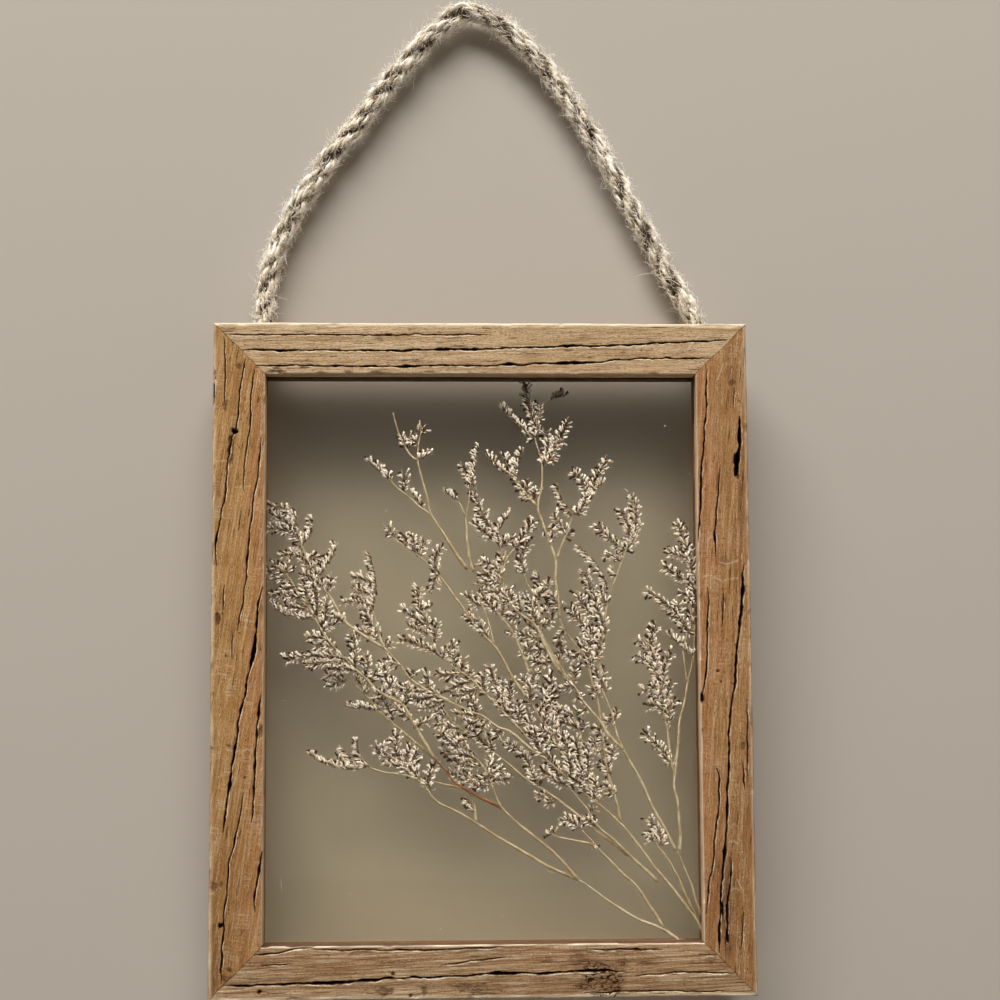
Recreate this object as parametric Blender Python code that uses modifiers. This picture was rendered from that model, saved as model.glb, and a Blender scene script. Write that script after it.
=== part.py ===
"""Pressed flower frame: sprays of dried sea lavender held between two panes in an old wooden frame.

The frame hangs from a loop of twisted jute rope that is stapled to the back of its top rail.
Units are metres. X runs to the viewer's right, Y away from the viewer, and Z up. The origin is the
point under the top of the rope that the whole hangs from. Every piece is built at its place there.
"""
import math

import bmesh
import bpy
from mathutils import Vector

MM = 0.001
GAP = 0.3 * MM  # left between pieces that touch
WELD = 0.01 * MM
FLAT_ANGLE = math.radians(0.5)

# Driving dimensions of the wooden frame.
FRAME_WIDTH = 200 * MM
FRAME_HEIGHT = 250 * MM
FRAME_DEPTH = 22 * MM
RAIL_FACE = 19 * MM
LIP = 5 * MM
REBATE = 5 * MM
ARRIS = 0.8 * MM
CRACK_DEPTH = 3 * MM

# The rope and where the frame hangs on it.
ROPE_DIAMETER = 8 * MM
ROPE_POINTS_APART = 14 * MM
FINE_STEPS = 12  # points worked out between two of the rope's route points
FRAME_TOP_Z = -132 * MM
FRAME_BACK_Y = -ROPE_DIAMETER / 2 - GAP
STAPLE_WIRE = 1.2 * MM
STAPLE_REACH = 6 * MM
STAPLE_HOLE_SIDES = 8

# The glass sandwich: a front pane, layers of pressed sprigs, a back pane, then the beads.
PANE = 2 * MM
LAYERS = 4
SPRIG_THICKNESS = 0.5 * MM
BEAD_WIDTH = 3.5 * MM
BEAD_DEPTH = 4 * MM

# Sprigs: the width of a stem at its foot and its tip, and the reach of a spike's flowers.
STEM_FOOT = 1.2 * MM
STEM_TIP = 0.7 * MM
SPIKE_REACH = 1.3 * MM
SPIKE_SIDE_REACH = 1.9 * MM
SPIKE_BARE_SIDE = 0.4 * MM
LONG_SPIKE = 11 * MM

# Values worked out from the ones above.
FRAME_FRONT_Y = FRAME_BACK_Y - FRAME_DEPTH
FRAME_BOTTOM_Z = FRAME_TOP_Z - FRAME_HEIGHT
FRAME_MIDDLE_Z = FRAME_BOTTOM_Z + FRAME_HEIGHT / 2
WINDOW_WIDTH = FRAME_WIDTH - 2 * RAIL_FACE
WINDOW_HEIGHT = FRAME_HEIGHT - 2 * RAIL_FACE
WINDOW_LEFT_X = -WINDOW_WIDTH / 2
WINDOW_BOTTOM_Z = FRAME_BOTTOM_Z + RAIL_FACE
LAYER_PITCH = SPRIG_THICKNESS + GAP
FRONT_PANE_Y = FRAME_FRONT_Y + LIP + GAP
SPRIGS_Y = FRONT_PANE_Y + PANE
BACK_PANE_Y = SPRIGS_Y + LAYERS * LAYER_PITCH + GAP
BEADS_Y = BACK_PANE_Y + PANE + GAP

# Cracks in the wood, as (width, points) in millimetres from the frame's lower left corner.
CRACKS = {
    "top_rail": [
        (0.7, [(10.5, 240), (69.5, 240), (129.5, 241.5), (178.5, 243.5)]),
        (0.7, [(16, 234), (69.5, 234), (129.5, 235), (184, 237)]),
    ],
    "bottom_rail": [
        (1.0, [(16, 5), (49.5, 6), (103, 8.5), (152, 9)]),
        (0.6, [(155, 7), (174.5, 8.5), (188, 7.5)]),
    ],
    "left_stile": [
        (0.8, [(12, 237), (8.5, 212), (5, 190), (1.5, 168.5)]),
        (1.2, [(18.2, 150.5), (15.5, 128.5), (10.5, 102.5), (4.5, 60.5)]),
        (0.7, [(12, 75), (7, 48.5), (4.5, 15)]),
    ],
    "right_stile": [
        (1.0, [(185.5, 232), (183, 196), (181.8, 160.5)]),
        (1.1, [(198, 159), (194.5, 121), (190.5, 71.5), (186.5, 20)]),
    ],
}

# The middle line of the rope, in millimetres, as (x, z) in the plane y = 0.
ROPE_ROUTE = [
    (-85.5, -150), (-86, -138), (-85.6, -124), (-85.2, -111), (-83.3, -101), (-80, -91), (-75.5, -81),
    (-71, -73), (-65, -63), (-58, -53), (-51, -44.5), (-42.5, -33), (-34, -21.5), (-25, -11),
    (-16, -1.5), (-6, 5.2), (4.5, 3.2), (13.5, -3.8), (22, -11.8), (30, -21.7), (37, -31.7),
    (44, -43.3), (50, -54), (56, -65), (61.3, -75.5), (67, -86), (72.3, -97), (78.3, -107.5),
    (84, -117.3), (86.8, -124), (86.6, -138), (85, -150),
]

BOTH = 0
LEFT = 1
RIGHT = -1

# Sprigs, in millimetres from the window's lower left corner. A stem is a list of points from its foot
# up. A spike is (side its flowers stand on, foot across, foot up, tip across, tip up, bow to its left).
# Layer 0 lies against the front pane and layer 3 against the back one.
SPRIGS = {
    "low_stem": {
        "layer": 0,
        "stems": [
            [(154.5, -1), (148.5, 3.5), (138.5, 7.5), (129, 13.5), (117, 22)],
        ],
        "spikes": [
        ],
    },
    "low_left_branch": {
        "layer": 2,
        "stems": [
            [(116.5, 22), (105.5, 27), (95.5, 33), (86, 38.5), (78.5, 43.5), (71.5, 47.5),
             (63.5, 51.5), (60.5, 56), (56.5, 60.5), (51.5, 63.5)],
            [(59, 58.5), (51.5, 61.5), (44, 62.5), (38, 64.5)],
        ],
        "spikes": [
            (RIGHT, 38, 64.5, 15, 70, 2.8), (LEFT, 37.5, 65, 34, 76, 1), (LEFT, 35, 64.5, 27, 73, 0.2),
            (RIGHT, 31, 64.5, 25, 68.5, -0.5), (RIGHT, 53, 63, 42.5, 64.5, -1.1),
            (BOTH, 51.5, 63.5, 48.5, 78.5, 2.3), (BOTH, 49, 67.5, 40.5, 74.5, 1.8),
            (RIGHT, 43.5, 70, 45.5, 75.5, 1), (BOTH, 55, 62, 54, 74.5, 2.9),
            (BOTH, 57.5, 60, 58, 71.5, 2.9), (BOTH, 60.5, 56, 64, 68, 2.1),
        ],
    },
    "low_upshoot": {
        "layer": 3,
        "stems": [
            [(78.5, 43.5), (78, 49), (76.5, 54), (75, 57), (73.5, 61)],
            [(76, 55.5), (71, 57), (66, 58), (61, 59.5)],
        ],
        "spikes": [
            (LEFT, 77, 47.5, 74, 53.5, -0.2), (BOTH, 74.5, 57, 64.5, 72, -1.4),
            (BOTH, 74, 60, 67, 63, -0.8),
        ],
    },
    "low_right_branch": {
        "layer": 0,
        "stems": [
            [(116, 22.5), (111.5, 28), (105.5, 34), (98, 40), (92, 45), (88, 49), (86, 53.5),
             (83.5, 59.5), (81.5, 64), (78, 68), (74.5, 71.5)],
        ],
        "spikes": [
            (BOTH, 76, 70, 63, 78.5, 0.8), (BOTH, 78, 67.5, 68.5, 70.5, -0.7),
            (BOTH, 80, 66, 71, 67.5, 0.9), (BOTH, 82, 61.5, 74, 62.5, 1.9),
            (BOTH, 83.5, 58, 76, 59.5, 1.8), (BOTH, 83.5, 59.5, 92.5, 60.5, 0.6),
            (BOTH, 83, 60.5, 89.5, 62.5, 1.5), (BOTH, 81.5, 64, 81.5, 68.5, -3),
        ],
    },
    "red_twig": {
        "layer": 1,
        "stems": [
            [(88, 49), (84, 51), (78, 54), (73, 57), (70.5, 58.5), (67.5, 62.5), (62.5, 68)],
        ],
        "spikes": [
        ],
    },
    "left_low_spray": {
        "layer": 3,
        "stems": [
            [(62.5, 68), (59.5, 70.5), (54, 75), (49.5, 79), (46.5, 81.5), (44, 86.5), (39.5, 91.5)],
            [(46.5, 81.5), (42.5, 85), (39.5, 88), (37, 91.5), (34, 94.5), (31, 97), (27.5, 98.5)],
        ],
        "spikes": [
            (RIGHT, 42, 85, 29, 86.5, -0.7), (BOTH, 27.5, 98.5, 20.5, 101, -0.2),
            (BOTH, 29, 97.5, 20, 97.5, 0.2), (BOTH, 28.5, 98, 21.5, 95, 0.3),
            (RIGHT, 37, 91.5, 32, 99, -0.5), (BOTH, 44, 86.5, 39.5, 92.5, 0.2),
            (BOTH, 46.5, 82, 41, 92, -0.7),
        ],
    },
    "left_mid_spray": {
        "layer": 0,
        "stems": [
            [(62.5, 68), (56.5, 78.5), (54, 82.5), (51, 88), (45.5, 91), (40.5, 94), (38, 97),
             (34, 100.5), (30.5, 104.5), (26.5, 108), (23.5, 112), (20.5, 116), (18, 121),
             (15.5, 125.5), (12, 129), (10, 133.5), (7.5, 136.5), (6, 140)],
        ],
        "spikes": [
            (BOTH, 56, 80, 62.5, 83, 0.5), (BOTH, 54, 82.5, 47, 88, 0.1), (BOTH, 51, 88, 50.5, 96, -2.1),
            (BOTH, 48.5, 89.5, 43, 105, 1.3), (BOTH, 44, 91.5, 39.5, 92.5, -1.2),
            (BOTH, 42.5, 92.5, 49, 98.5, 0.3), (BOTH, 38.5, 96.5, 44.5, 101, 0.6),
            (BOTH, 35.5, 99, 35.5, 108.5, -1.5), (BOTH, 33.5, 101.5, 21.5, 102, -0.6),
            (BOTH, 32, 103, 30.5, 115.5, -1.1), (BOTH, 30.5, 104, 13.5, 103, -0.1),
            (BOTH, 29, 105, 5, 105.5, -1.6), (BOTH, 26, 108.5, 16.5, 110, -1),
            (BOTH, 23.5, 112, 13.5, 113, -1.6), (BOTH, 20.5, 116, 27, 118.5, 1.4),
            (BOTH, 19.5, 118, 20, 129, -2.1), (RIGHT, 18, 120.5, 1, 126, 2.2),
            (BOTH, 18, 122, 14.5, 136.5, -1.7), (BOTH, 15.5, 125.5, 4.5, 127, 0.9),
            (BOTH, 15, 126.5, 13.5, 135, 0.4), (BOTH, 12, 128.5, 0, 129.5, -1.2),
            (BOTH, 10, 133, 3, 130.5, -0.1), (LEFT, 8.5, 135, -0.5, 142, 1.7),
            (BOTH, 7, 137.5, 3, 143, 1.2), (BOTH, 7, 137.5, 7, 143, -0.8),
        ],
    },
    "left_up_stem": {
        "layer": 1,
        "stems": [
            [(68.5, 89), (59.5, 93.5), (54.5, 97), (52, 100), (48.5, 104.5), (44, 109.5)],
        ],
        "spikes": [
            (BOTH, 65, 90.5, 60.5, 101, 2.4), (BOTH, 62.5, 92, 51.5, 92.5, 1.5),
            (BOTH, 59.5, 93.5, 47.5, 95.5, 0.5), (BOTH, 54, 97, 55.5, 101.5, 0.6),
            (BOTH, 66, 90, 55, 87.5, 1.1), (BOTH, 50, 102.5, 44.5, 106.5, 1.1),
        ],
    },
    "left_up_column": {
        "layer": 2,
        "stems": [
            [(43.5, 109.5), (42, 114), (41, 119), (39.5, 123.5)],
        ],
        "spikes": [
            (LEFT, 39.5, 123.5, 38, 146.5, -2), (BOTH, 39.5, 125, 26.5, 127, -1.6),
            (BOTH, 39, 130.5, 31, 133, 0.4), (BOTH, 39, 134.5, 30, 137, -0.6),
            (BOTH, 39.5, 123.5, 35, 125, 1.1), (BOTH, 41.5, 114.5, 35.5, 123, 1.1),
            (BOTH, 42.5, 112.5, 31, 115.5, -0.8), (BOTH, 43.5, 109.5, 46, 114, -0.8),
        ],
    },
    "far_left_branch": {
        "layer": 1,
        "stems": [
            [(43.5, 109.5), (38.5, 112.5), (33.5, 116), (29, 119.5), (26.5, 123.5), (24, 128),
             (21.5, 131.5), (19, 136.5), (16, 140.5), (14.5, 144), (13, 148), (12, 151.5), (10.5, 156)],
        ],
        "spikes": [
            (BOTH, 29, 119.5, 20.5, 121, -1.6), (BOTH, 21.5, 131.5, 24, 138.5, -0.5),
            (BOTH, 20.5, 133.5, 11.5, 138, -1.2), (LEFT, 19, 136.5, 26.5, 149.5, -1.1),
            (BOTH, 16.5, 139.5, 4, 144.5, -3.3), (BOTH, 14.5, 143.5, 22, 141.5, 1.1),
            (LEFT, 13, 148, 16.5, 160, -1.8), (BOTH, 13, 150, -0.5, 154.5, -1.9),
            (BOTH, 11, 154.5, 0.5, 161, -0.8), (LEFT, 10.5, 155.5, 7.5, 164, -0.9),
            (BOTH, 10, 158, -0.5, 163, -1.7), (LEFT, 13.5, 147, 10, 149.5, 0.1),
        ],
    },
    "top_left_sprig": {
        "layer": 0,
        "stems": [
            [(75.5, 139), (71.5, 144.5), (66, 153.5), (61.5, 160), (60.5, 165.5), (59, 171.5),
             (57, 179.5), (57, 185), (57.5, 189), (58, 192.5), (57.5, 196)],
            [(61.5, 160), (58, 162.5), (53, 167), (50.5, 169), (49, 170), (46, 173.5)],
            [(57, 180.5), (54, 182.5), (52, 185.5), (50.5, 188.5), (49.5, 191), (47.5, 199)],
        ],
        "spikes": [
            (RIGHT, 46.5, 172.5, 36.5, 181, -0.4), (LEFT, 46, 173.5, 44, 179.5, -0.4),
            (BOTH, 50.5, 169.5, 50.5, 177.5, -0.6), (RIGHT, 58, 162.5, 53.5, 169, -0.3),
            (BOTH, 52, 185.5, 49.5, 191.5, 0.4), (BOTH, 57, 187, 52, 190, 0.2),
            (LEFT, 57.5, 180.5, 63, 183, 0.4), (BOTH, 58, 191.5, 56, 193, -0.2),
            (BOTH, 58, 192, 60, 194.5, 0.1),
        ],
    },
    "left_long_sprig": {
        "layer": 0,
        "stems": [
            [(97.5, 90.5), (92.5, 97.5), (89, 104.5), (85.5, 110), (82, 113.5), (78.5, 118.5),
             (75, 122.5), (69, 131), (64, 137.5), (59.5, 142), (54.5, 146), (50, 149), (46.5, 152)],
            [(85.5, 110), (83.5, 118), (82, 123), (80.5, 126.5)],
        ],
        "spikes": [
            (BOTH, 47.5, 151, 43.5, 156.5, 0.2), (BOTH, 51.5, 147.5, 50, 153, -0.4),
            (BOTH, 54.5, 146, 53, 153.5, -0.3), (BOTH, 56.5, 144.5, 58.5, 152, -0.4),
            (BOTH, 64, 137.5, 66, 149, 2.3), (BOTH, 64, 137.5, 62, 129.5, -1.1),
            (BOTH, 79.5, 116.5, 74, 123, -0.1), (BOTH, 82.5, 113, 77.5, 121.5, 0.4),
            (BOTH, 81.5, 126, 74.5, 131, 0.4),
        ],
    },
    "centre_bent_twig": {
        "layer": 1,
        "stems": [
            [(99, 99), (97, 104.5), (95, 109.5), (92, 116), (87, 122.5)],
        ],
        "spikes": [
            (BOTH, 87, 122.5, 79.5, 130, -0.5), (BOTH, 88, 121.5, 88, 127.5, -1.1),
            (BOTH, 92, 116, 90, 113, 0.2), (BOTH, 95.5, 107.5, 94.5, 105.5, 0.3),
        ],
    },
    "thin_top_twig": {
        "layer": 1,
        "stems": [
            [(78, 138), (76.5, 142.5), (75.5, 152), (75, 159), (76, 164), (76.5, 169.5)],
            [(75, 159), (73, 164), (71, 165.5)],
        ],
        "spikes": [
            (LEFT, 76.5, 169, 80, 187.5, -0.6), (BOTH, 77, 171, 73, 180.5, 0.2),
            (RIGHT, 71.5, 165, 66, 169, -0.3),
        ],
    },
    "centre_top_spray": {
        "layer": 2,
        "stems": [
            [(110.5, 100), (107.5, 104.5), (105, 110), (101, 118), (94.5, 123), (90, 129.5),
             (88.5, 137.5), (89, 142.5), (88, 148.5), (86, 151.5)],
            [(88.5, 137.5), (90.5, 142.5), (93.5, 147)],
        ],
        "spikes": [
            (BOTH, 86, 151.5, 76.5, 159.5, 0.4), (BOTH, 86.5, 151, 77, 170, 1.2),
            (LEFT, 88, 148.5, 93, 160.5, 2.3), (BOTH, 88.5, 148.5, 95, 152.5, 0.6),
            (BOTH, 93.5, 147, 101.5, 159, -0.5), (BOTH, 89, 140.5, 89, 147, 0.8),
            (BOTH, 88.5, 136.5, 79, 142, -1.9), (BOTH, 88.5, 136, 78.5, 137.5, -0.7),
            (BOTH, 89, 134, 79, 132, -1.1), (BOTH, 90, 129.5, 81, 130.5, -1.2),
            (BOTH, 91.5, 127.5, 82, 126.5, -0.4), (BOTH, 92.5, 126, 90.5, 133.5, 0),
            (BOTH, 95, 122.5, 93, 131, 0.1), (BOTH, 97, 121, 90, 123, 1.4),
            (BOTH, 101, 118, 97.5, 129, 0),
        ],
    },
    "centre_column_spray": {
        "layer": 3,
        "stems": [
            [(113, 95.5), (110.5, 101.5), (106.5, 108.5), (103.5, 115), (103, 122.5), (101.5, 128),
             (98.5, 133), (96.5, 139)],
        ],
        "spikes": [
            (BOTH, 96.5, 138, 99.5, 151, 2.7), (BOTH, 101.5, 128, 107.5, 135.5, -0.3),
            (LEFT, 101.5, 128, 101, 139, -2.2), (BOTH, 102.5, 125.5, 96, 131, 0.7),
            (BOTH, 103, 122.5, 107.5, 131, -1), (BOTH, 103.5, 118, 107.5, 125, -1.6),
            (BOTH, 103.5, 116, 96, 119, -0.4), (BOTH, 105, 112, 93, 115, 0.2),
            (BOTH, 106.5, 108.5, 95.5, 109.5, 0.9), (BOTH, 108, 105.5, 98.5, 105.5, 1.5),
            (BOTH, 109, 104.5, 108, 113.5, -2.1),
        ],
    },
    "tall_stem": {
        "layer": 1,
        "stems": [
            [(133, 43), (131.5, 49.5), (129.5, 56.5), (127.5, 64.5), (126.5, 73.5), (125.5, 81.5),
             (124.5, 89.5), (122.5, 96), (120.5, 104.5), (116.5, 110), (113, 114.5), (110.5, 120)],
        ],
        "spikes": [
            (BOTH, 121.5, 101.5, 123, 117.5, 0.7), (BOTH, 120.5, 103.5, 125.5, 113, -1),
            (BOTH, 119, 106.5, 117, 113.5, -0.4), (BOTH, 118, 108, 111.5, 109, 2),
            (BOTH, 124.5, 89.5, 121, 95.5, 0.2), (BOTH, 126.5, 73.5, 123.5, 81, 0.5),
            (BOTH, 127.5, 64.5, 130, 73.5, -0.1), (BOTH, 128, 61, 125.5, 68, 0.7),
            (BOTH, 130, 53.5, 126, 59, 1.1), (BOTH, 127, 71, 123, 72.5, 2.4),
            (BOTH, 112, 116.5, 109, 110, -0.7),
        ],
    },
    "tall_top": {
        "layer": 0,
        "stems": [
            [(110.5, 120.5), (110, 127.5), (109, 135), (109, 142), (107, 148.5), (104.5, 156),
             (102.5, 162.5), (104, 170.5), (104, 178.5), (103, 184), (101.5, 189), (102.5, 193),
             (102, 197.5)],
            [(102.5, 196.5), (105.5, 203), (110, 205)],
        ],
        "spikes": [
            (RIGHT, 101.5, 189, 87.5, 202, 0.6), (BOTH, 102, 192, 97.5, 212, 1.5),
            (BOTH, 102, 196.5, 101.5, 204.5, -0.8), (LEFT, 107.5, 204.5, 114, 206.5, -0.3),
            (BOTH, 101.5, 189, 97, 190.5, 0.1), (BOTH, 104.5, 179, 110, 183.5, -0.2),
            (BOTH, 104, 179, 104.5, 193.5, -1), (BOTH, 105, 180, 114.5, 197.5, 0.3),
            (BOTH, 108, 185.5, 112.5, 188.5, 0.5), (BOTH, 110, 124.5, 107, 131, 1.4),
            (BOTH, 105, 155, 109.5, 154, -0.7), (BOTH, 106.5, 153.5, 108.5, 149, 0.5),
        ],
    },
    "tall_left_branch": {
        "layer": 1,
        "stems": [
            [(102, 163), (100, 165.5), (95.5, 171), (92.5, 174.5)],
        ],
        "spikes": [
            (RIGHT, 92.5, 174.5, 82.5, 183.5, 1.1), (RIGHT, 93, 174, 88, 184, -0.5),
            (LEFT, 100, 165.5, 97.5, 185.5, 3.9), (BOTH, 100.5, 164.5, 102.5, 171, 1.3),
            (BOTH, 98, 168, 99, 174, 1),
        ],
    },
    "tall_right_branch": {
        "layer": 1,
        "stems": [
            [(109.5, 143), (111, 147), (113, 151.5), (114.5, 156), (116, 160)],
        ],
        "spikes": [
            (BOTH, 113, 152.5, 107.5, 160.5, 0), (BOTH, 113, 151.5, 114.5, 155, -0.9),
            (LEFT, 116, 159.5, 110, 172, 0.9), (LEFT, 116, 159.5, 125, 168.5, -0.5),
            (BOTH, 116.5, 161, 129, 183, 0.2), (BOTH, 120.5, 169, 114.5, 177, -1.1),
            (LEFT, 122.5, 166.5, 128.5, 172.5, 0.9),
        ],
    },
    "right_stem": {
        "layer": 1,
        "stems": [
            [(162.5, 8.5), (160.5, 15.5), (157.5, 24), (154, 32.5)],
        ],
        "spikes": [
        ],
    },
    "right_tall_branch": {
        "layer": 2,
        "stems": [
            [(153.5, 32.5), (149, 41.5), (144.5, 50), (140.5, 59), (134.5, 70), (131.5, 77),
             (129.5, 85.5), (126.5, 93), (125.5, 98.5), (126.5, 112), (128, 121), (129.5, 129.5),
             (133, 138), (135.5, 145), (137, 149)],
        ],
        "spikes": [
            (BOTH, 137, 148.5, 137, 169.5, -2.3), (BOTH, 136.5, 147.5, 132.5, 163.5, -1.6),
            (BOTH, 135.5, 146, 124.5, 157.5, 0.9), (BOTH, 134, 142, 126.5, 144, -1.4),
            (LEFT, 130, 130.5, 117, 148.5, -1.9), (BOTH, 135.5, 146, 138.5, 150, -0.9),
            (LEFT, 132, 136, 131, 140.5, 0.5), (BOTH, 128.5, 125, 128.5, 132.5, 1.8),
            (BOTH, 126.5, 114.5, 118.5, 139.5, -0.4), (BOTH, 125, 120.5, 117, 131, 1.6),
            (BOTH, 125, 120.5, 123, 131, 0.9), (BOTH, 126.5, 112, 117, 116.5, -1.5),
            (BOTH, 126.5, 112, 113, 126, 1.1), (BOTH, 126.5, 93, 127, 101.5, 0.9),
            (BOTH, 126, 94.5, 123.5, 103.5, 1), (BOTH, 129.5, 83, 126, 83.5, 1.7),
            (BOTH, 130, 82.5, 133.5, 85.5, 0.7),
        ],
    },
    "right_side_twig": {
        "layer": 0,
        "stems": [
            [(134, 70.5), (128, 76.5), (125, 81.5), (118.5, 89.5), (117, 92.5), (114, 97), (111, 101),
             (108.5, 106.5)],
        ],
        "spikes": [
            (BOTH, 117, 92.5, 120, 91.5, -1.6), (BOTH, 116, 94, 109, 93, -0.2),
            (BOTH, 120, 87.5, 115.5, 87, 2.4), (BOTH, 122, 100, 116, 104, -0.2),
        ],
    },
    "right_sprig": {
        "layer": 0,
        "stems": [
            [(154.5, 32.5), (155, 38), (154.5, 44), (154, 51.5), (153, 57), (153.5, 62.5), (154.5, 70),
             (155, 76), (155.5, 81.5), (157.5, 89), (158.5, 96), (160, 101), (161, 106), (161.5, 112),
             (161.5, 117.5)],
            [(158.5, 96), (157.5, 102.5), (157, 108)],
            [(157.5, 107.5), (158, 112), (160, 118), (160, 123.5), (159, 128)],
        ],
        "spikes": [
            (RIGHT, 160.5, 105.5, 150.5, 115, 0.2), (BOTH, 156, 115, 141.5, 131, -1.8),
            (BOTH, 153.5, 120.5, 155, 128, 0), (BOTH, 160, 119, 162, 122.5, 1.5),
            (BOTH, 160, 116.5, 161.5, 116.5, -1.5), (BOTH, 159.5, 125.5, 155.5, 131.5, -0.1),
            (BOTH, 160.5, 124, 156.5, 137, -2.5), (BOTH, 159, 135, 149.5, 142, 0.4),
            (BOTH, 161.5, 131, 159.5, 140, -1.6), (BOTH, 162, 135.5, 150, 145.5, -4.2),
            (BOTH, 161.5, 141.5, 155, 157.5, -0.5),
        ],
    },
    "right_inner_sprig": {
        "layer": 1,
        "stems": [
            [(154, 61), (152, 65.5), (151.5, 71), (151, 78), (150, 82.5), (149.5, 86), (150, 90),
             (149, 95)],
            [(151, 77.5), (152.5, 80.5)],
        ],
        "spikes": [
            (BOTH, 151.5, 63.5, 141, 77.5, -0.9), (BOTH, 152.5, 80, 155, 90, 2.1),
            (BOTH, 149.5, 85.5, 142, 87, -1.6), (BOTH, 149.5, 87, 140, 93.5, -1.6),
            (BOTH, 149.5, 90, 143, 95.5, -1.6), (BOTH, 150, 89, 152.5, 98, 0.6),
            (BOTH, 148.5, 93.5, 137, 106.5, -2.4), (BOTH, 149, 95, 153, 109, 1.6),
            (BOTH, 146.5, 100, 137.5, 112.5, -2.3), (BOTH, 145, 105, 147, 119, 1.8),
            (BOTH, 145.5, 104.5, 147, 111.5, -0.5),
        ],
    },
    "small_sprig": {
        "layer": 1,
        "stems": [
            [(160.5, 7.5), (155.5, 19.5), (152.5, 25.5), (150, 30), (147.5, 33), (145.5, 36.5)],
        ],
        "spikes": [
            (BOTH, 146, 36, 141.5, 36, -1.5), (LEFT, 146, 36, 141, 39.5, -1.4),
            (BOTH, 147, 34.5, 140.5, 45.5, -2), (BOTH, 146.5, 36.5, 145.5, 41, -0.6),
        ],
    },
    "main_stem": {
        "layer": 0,
        "stems": [
            [(163, 2), (160.5, 7), (155.5, 13.5), (150, 21), (144.5, 27.5), (139, 35), (133, 42.5),
             (127, 48), (119.5, 54), (111, 61.5), (105.5, 66.5)],
        ],
        "spikes": [
            (BOTH, 124, 50.5, 119.5, 58, 0.3), (BOTH, 121.5, 52.5, 121.5, 61.5, -0.8),
            (BOTH, 118.5, 54.5, 113, 60.5, -0.1), (BOTH, 115.5, 57.5, 117, 66, -1.2),
            (BOTH, 112.5, 60.5, 111.5, 68.5, -1.2),
        ],
    },
    "main_top_branch": {
        "layer": 0,
        "stems": [
            [(105, 67), (98, 72), (91.5, 77.5), (86.5, 79.5), (82, 83), (78.5, 84.5), (68.5, 89)],
        ],
        "spikes": [
            (BOTH, 102.5, 68.5, 100, 79.5, 1.2), (BOTH, 87.5, 79, 84, 74.5, 0.2),
            (BOTH, 82, 82.5, 78.5, 76.5, 0.1), (BOTH, 78.5, 84.5, 68.5, 85.5, -0.1),
            (BOTH, 79.5, 84, 73, 82, 1.8), (BOTH, 78, 85, 73.5, 90.5, -1.1),
        ],
    },
    "upper_fan": {
        "layer": 2,
        "stems": [
            [(105.5, 66), (97.5, 75.5), (89, 84.5), (82.5, 91.5), (76, 98), (71, 101.5), (65.5, 106),
             (63.5, 109), (61.5, 114), (59.5, 118)],
        ],
        "spikes": [
            (BOTH, 60, 117, 56, 134, 1.4), (BOTH, 59.5, 119.5, 49.5, 125.5, -0.3),
            (BOTH, 58, 125, 63, 126, 0.1), (BOTH, 61, 115, 52, 119, -0.5),
            (BOTH, 62.5, 112, 63, 120.5, 0.2), (BOTH, 64, 108.5, 48.5, 114, -0.3),
            (BOTH, 65.5, 106, 72, 111.5, 1.2), (BOTH, 70.5, 101.5, 67.5, 109, -0.6),
            (BOTH, 72, 101, 71.5, 107.5, -1.2), (BOTH, 73.5, 100, 62.5, 100, 1),
            (BOTH, 75, 98, 76.5, 102.5, 0.2), (BOTH, 76.5, 97, 66, 92.5, -0.5),
            (BOTH, 79.5, 94, 69.5, 90.5, 0.3), (BOTH, 81.5, 92, 81, 100.5, 1.1),
            (BOTH, 87, 87, 82.5, 103.5, -0.4), (BOTH, 89.5, 84, 88.5, 98.5, 1.4),
            (BOTH, 91.5, 82, 91, 98.5, -0.5), (BOTH, 94.5, 79, 93.5, 90, -0.8),
            (BOTH, 97.5, 75, 97, 87, -0.8),
        ],
    },
    "behind_fan": {
        "layer": 1,
        "stems": [
            [(125, 50), (120.5, 55.5), (116, 63), (110, 70.5), (106.5, 76), (103, 82), (100, 87),
             (98, 90)],
        ],
        "spikes": [
            (BOTH, 98, 89.5, 93.5, 98.5, -1.5), (BOTH, 99.5, 88, 102, 101.5, 1.2),
            (BOTH, 101.5, 85, 103, 96, -1.7), (BOTH, 104, 81, 106, 100, -1.9),
            (BOTH, 105, 79, 110.5, 87.5, -0.2), (BOTH, 107, 75, 101.5, 79, -0.9),
            (BOTH, 110, 70.5, 107.5, 80, -0.1), (BOTH, 113, 66.5, 110, 77.5, -1),
            (BOTH, 116, 63, 115, 76, -0.6), (BOTH, 118.5, 58.5, 119.5, 74, -0.7),
            (BOTH, 108.5, 72.5, 100.5, 73.5, -0.5),
        ],
    },
    "inner_stem": {
        "layer": 2,
        "stems": [
            [(127.5, 51.5), (124, 57.5), (121.5, 63), (119.5, 69.5), (117.5, 78), (116, 83),
             (115, 89.5), (113, 95.5)],
        ],
        "spikes": [
            (BOTH, 117.5, 77, 120, 83, 0.1), (BOTH, 120, 68, 121.5, 77, -1.6),
            (BOTH, 116.5, 80, 108.5, 82, -0.2), (BOTH, 116, 83, 107, 87, 0.2),
        ],
    },
    "side_stem": {
        "layer": 1,
        "stems": [
            [(146.5, 21), (142, 25.5), (137, 30), (132, 35), (123.5, 42.5), (120.5, 48), (118.5, 50.5),
             (114.5, 55.5), (110, 61)],
        ],
        "spikes": [
            (BOTH, 123.5, 42.5, 118, 46, -0.7), (BOTH, 120.5, 47.5, 120.5, 50.5, -0.8),
            (BOTH, 114.5, 55.5, 110, 63, -0.6), (BOTH, 112, 58.5, 105.5, 63.5, 1),
            (BOTH, 110, 60.5, 102, 66, 1.2), (BOTH, 110, 60.5, 103.5, 70, -0.6),
        ],
    },
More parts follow.
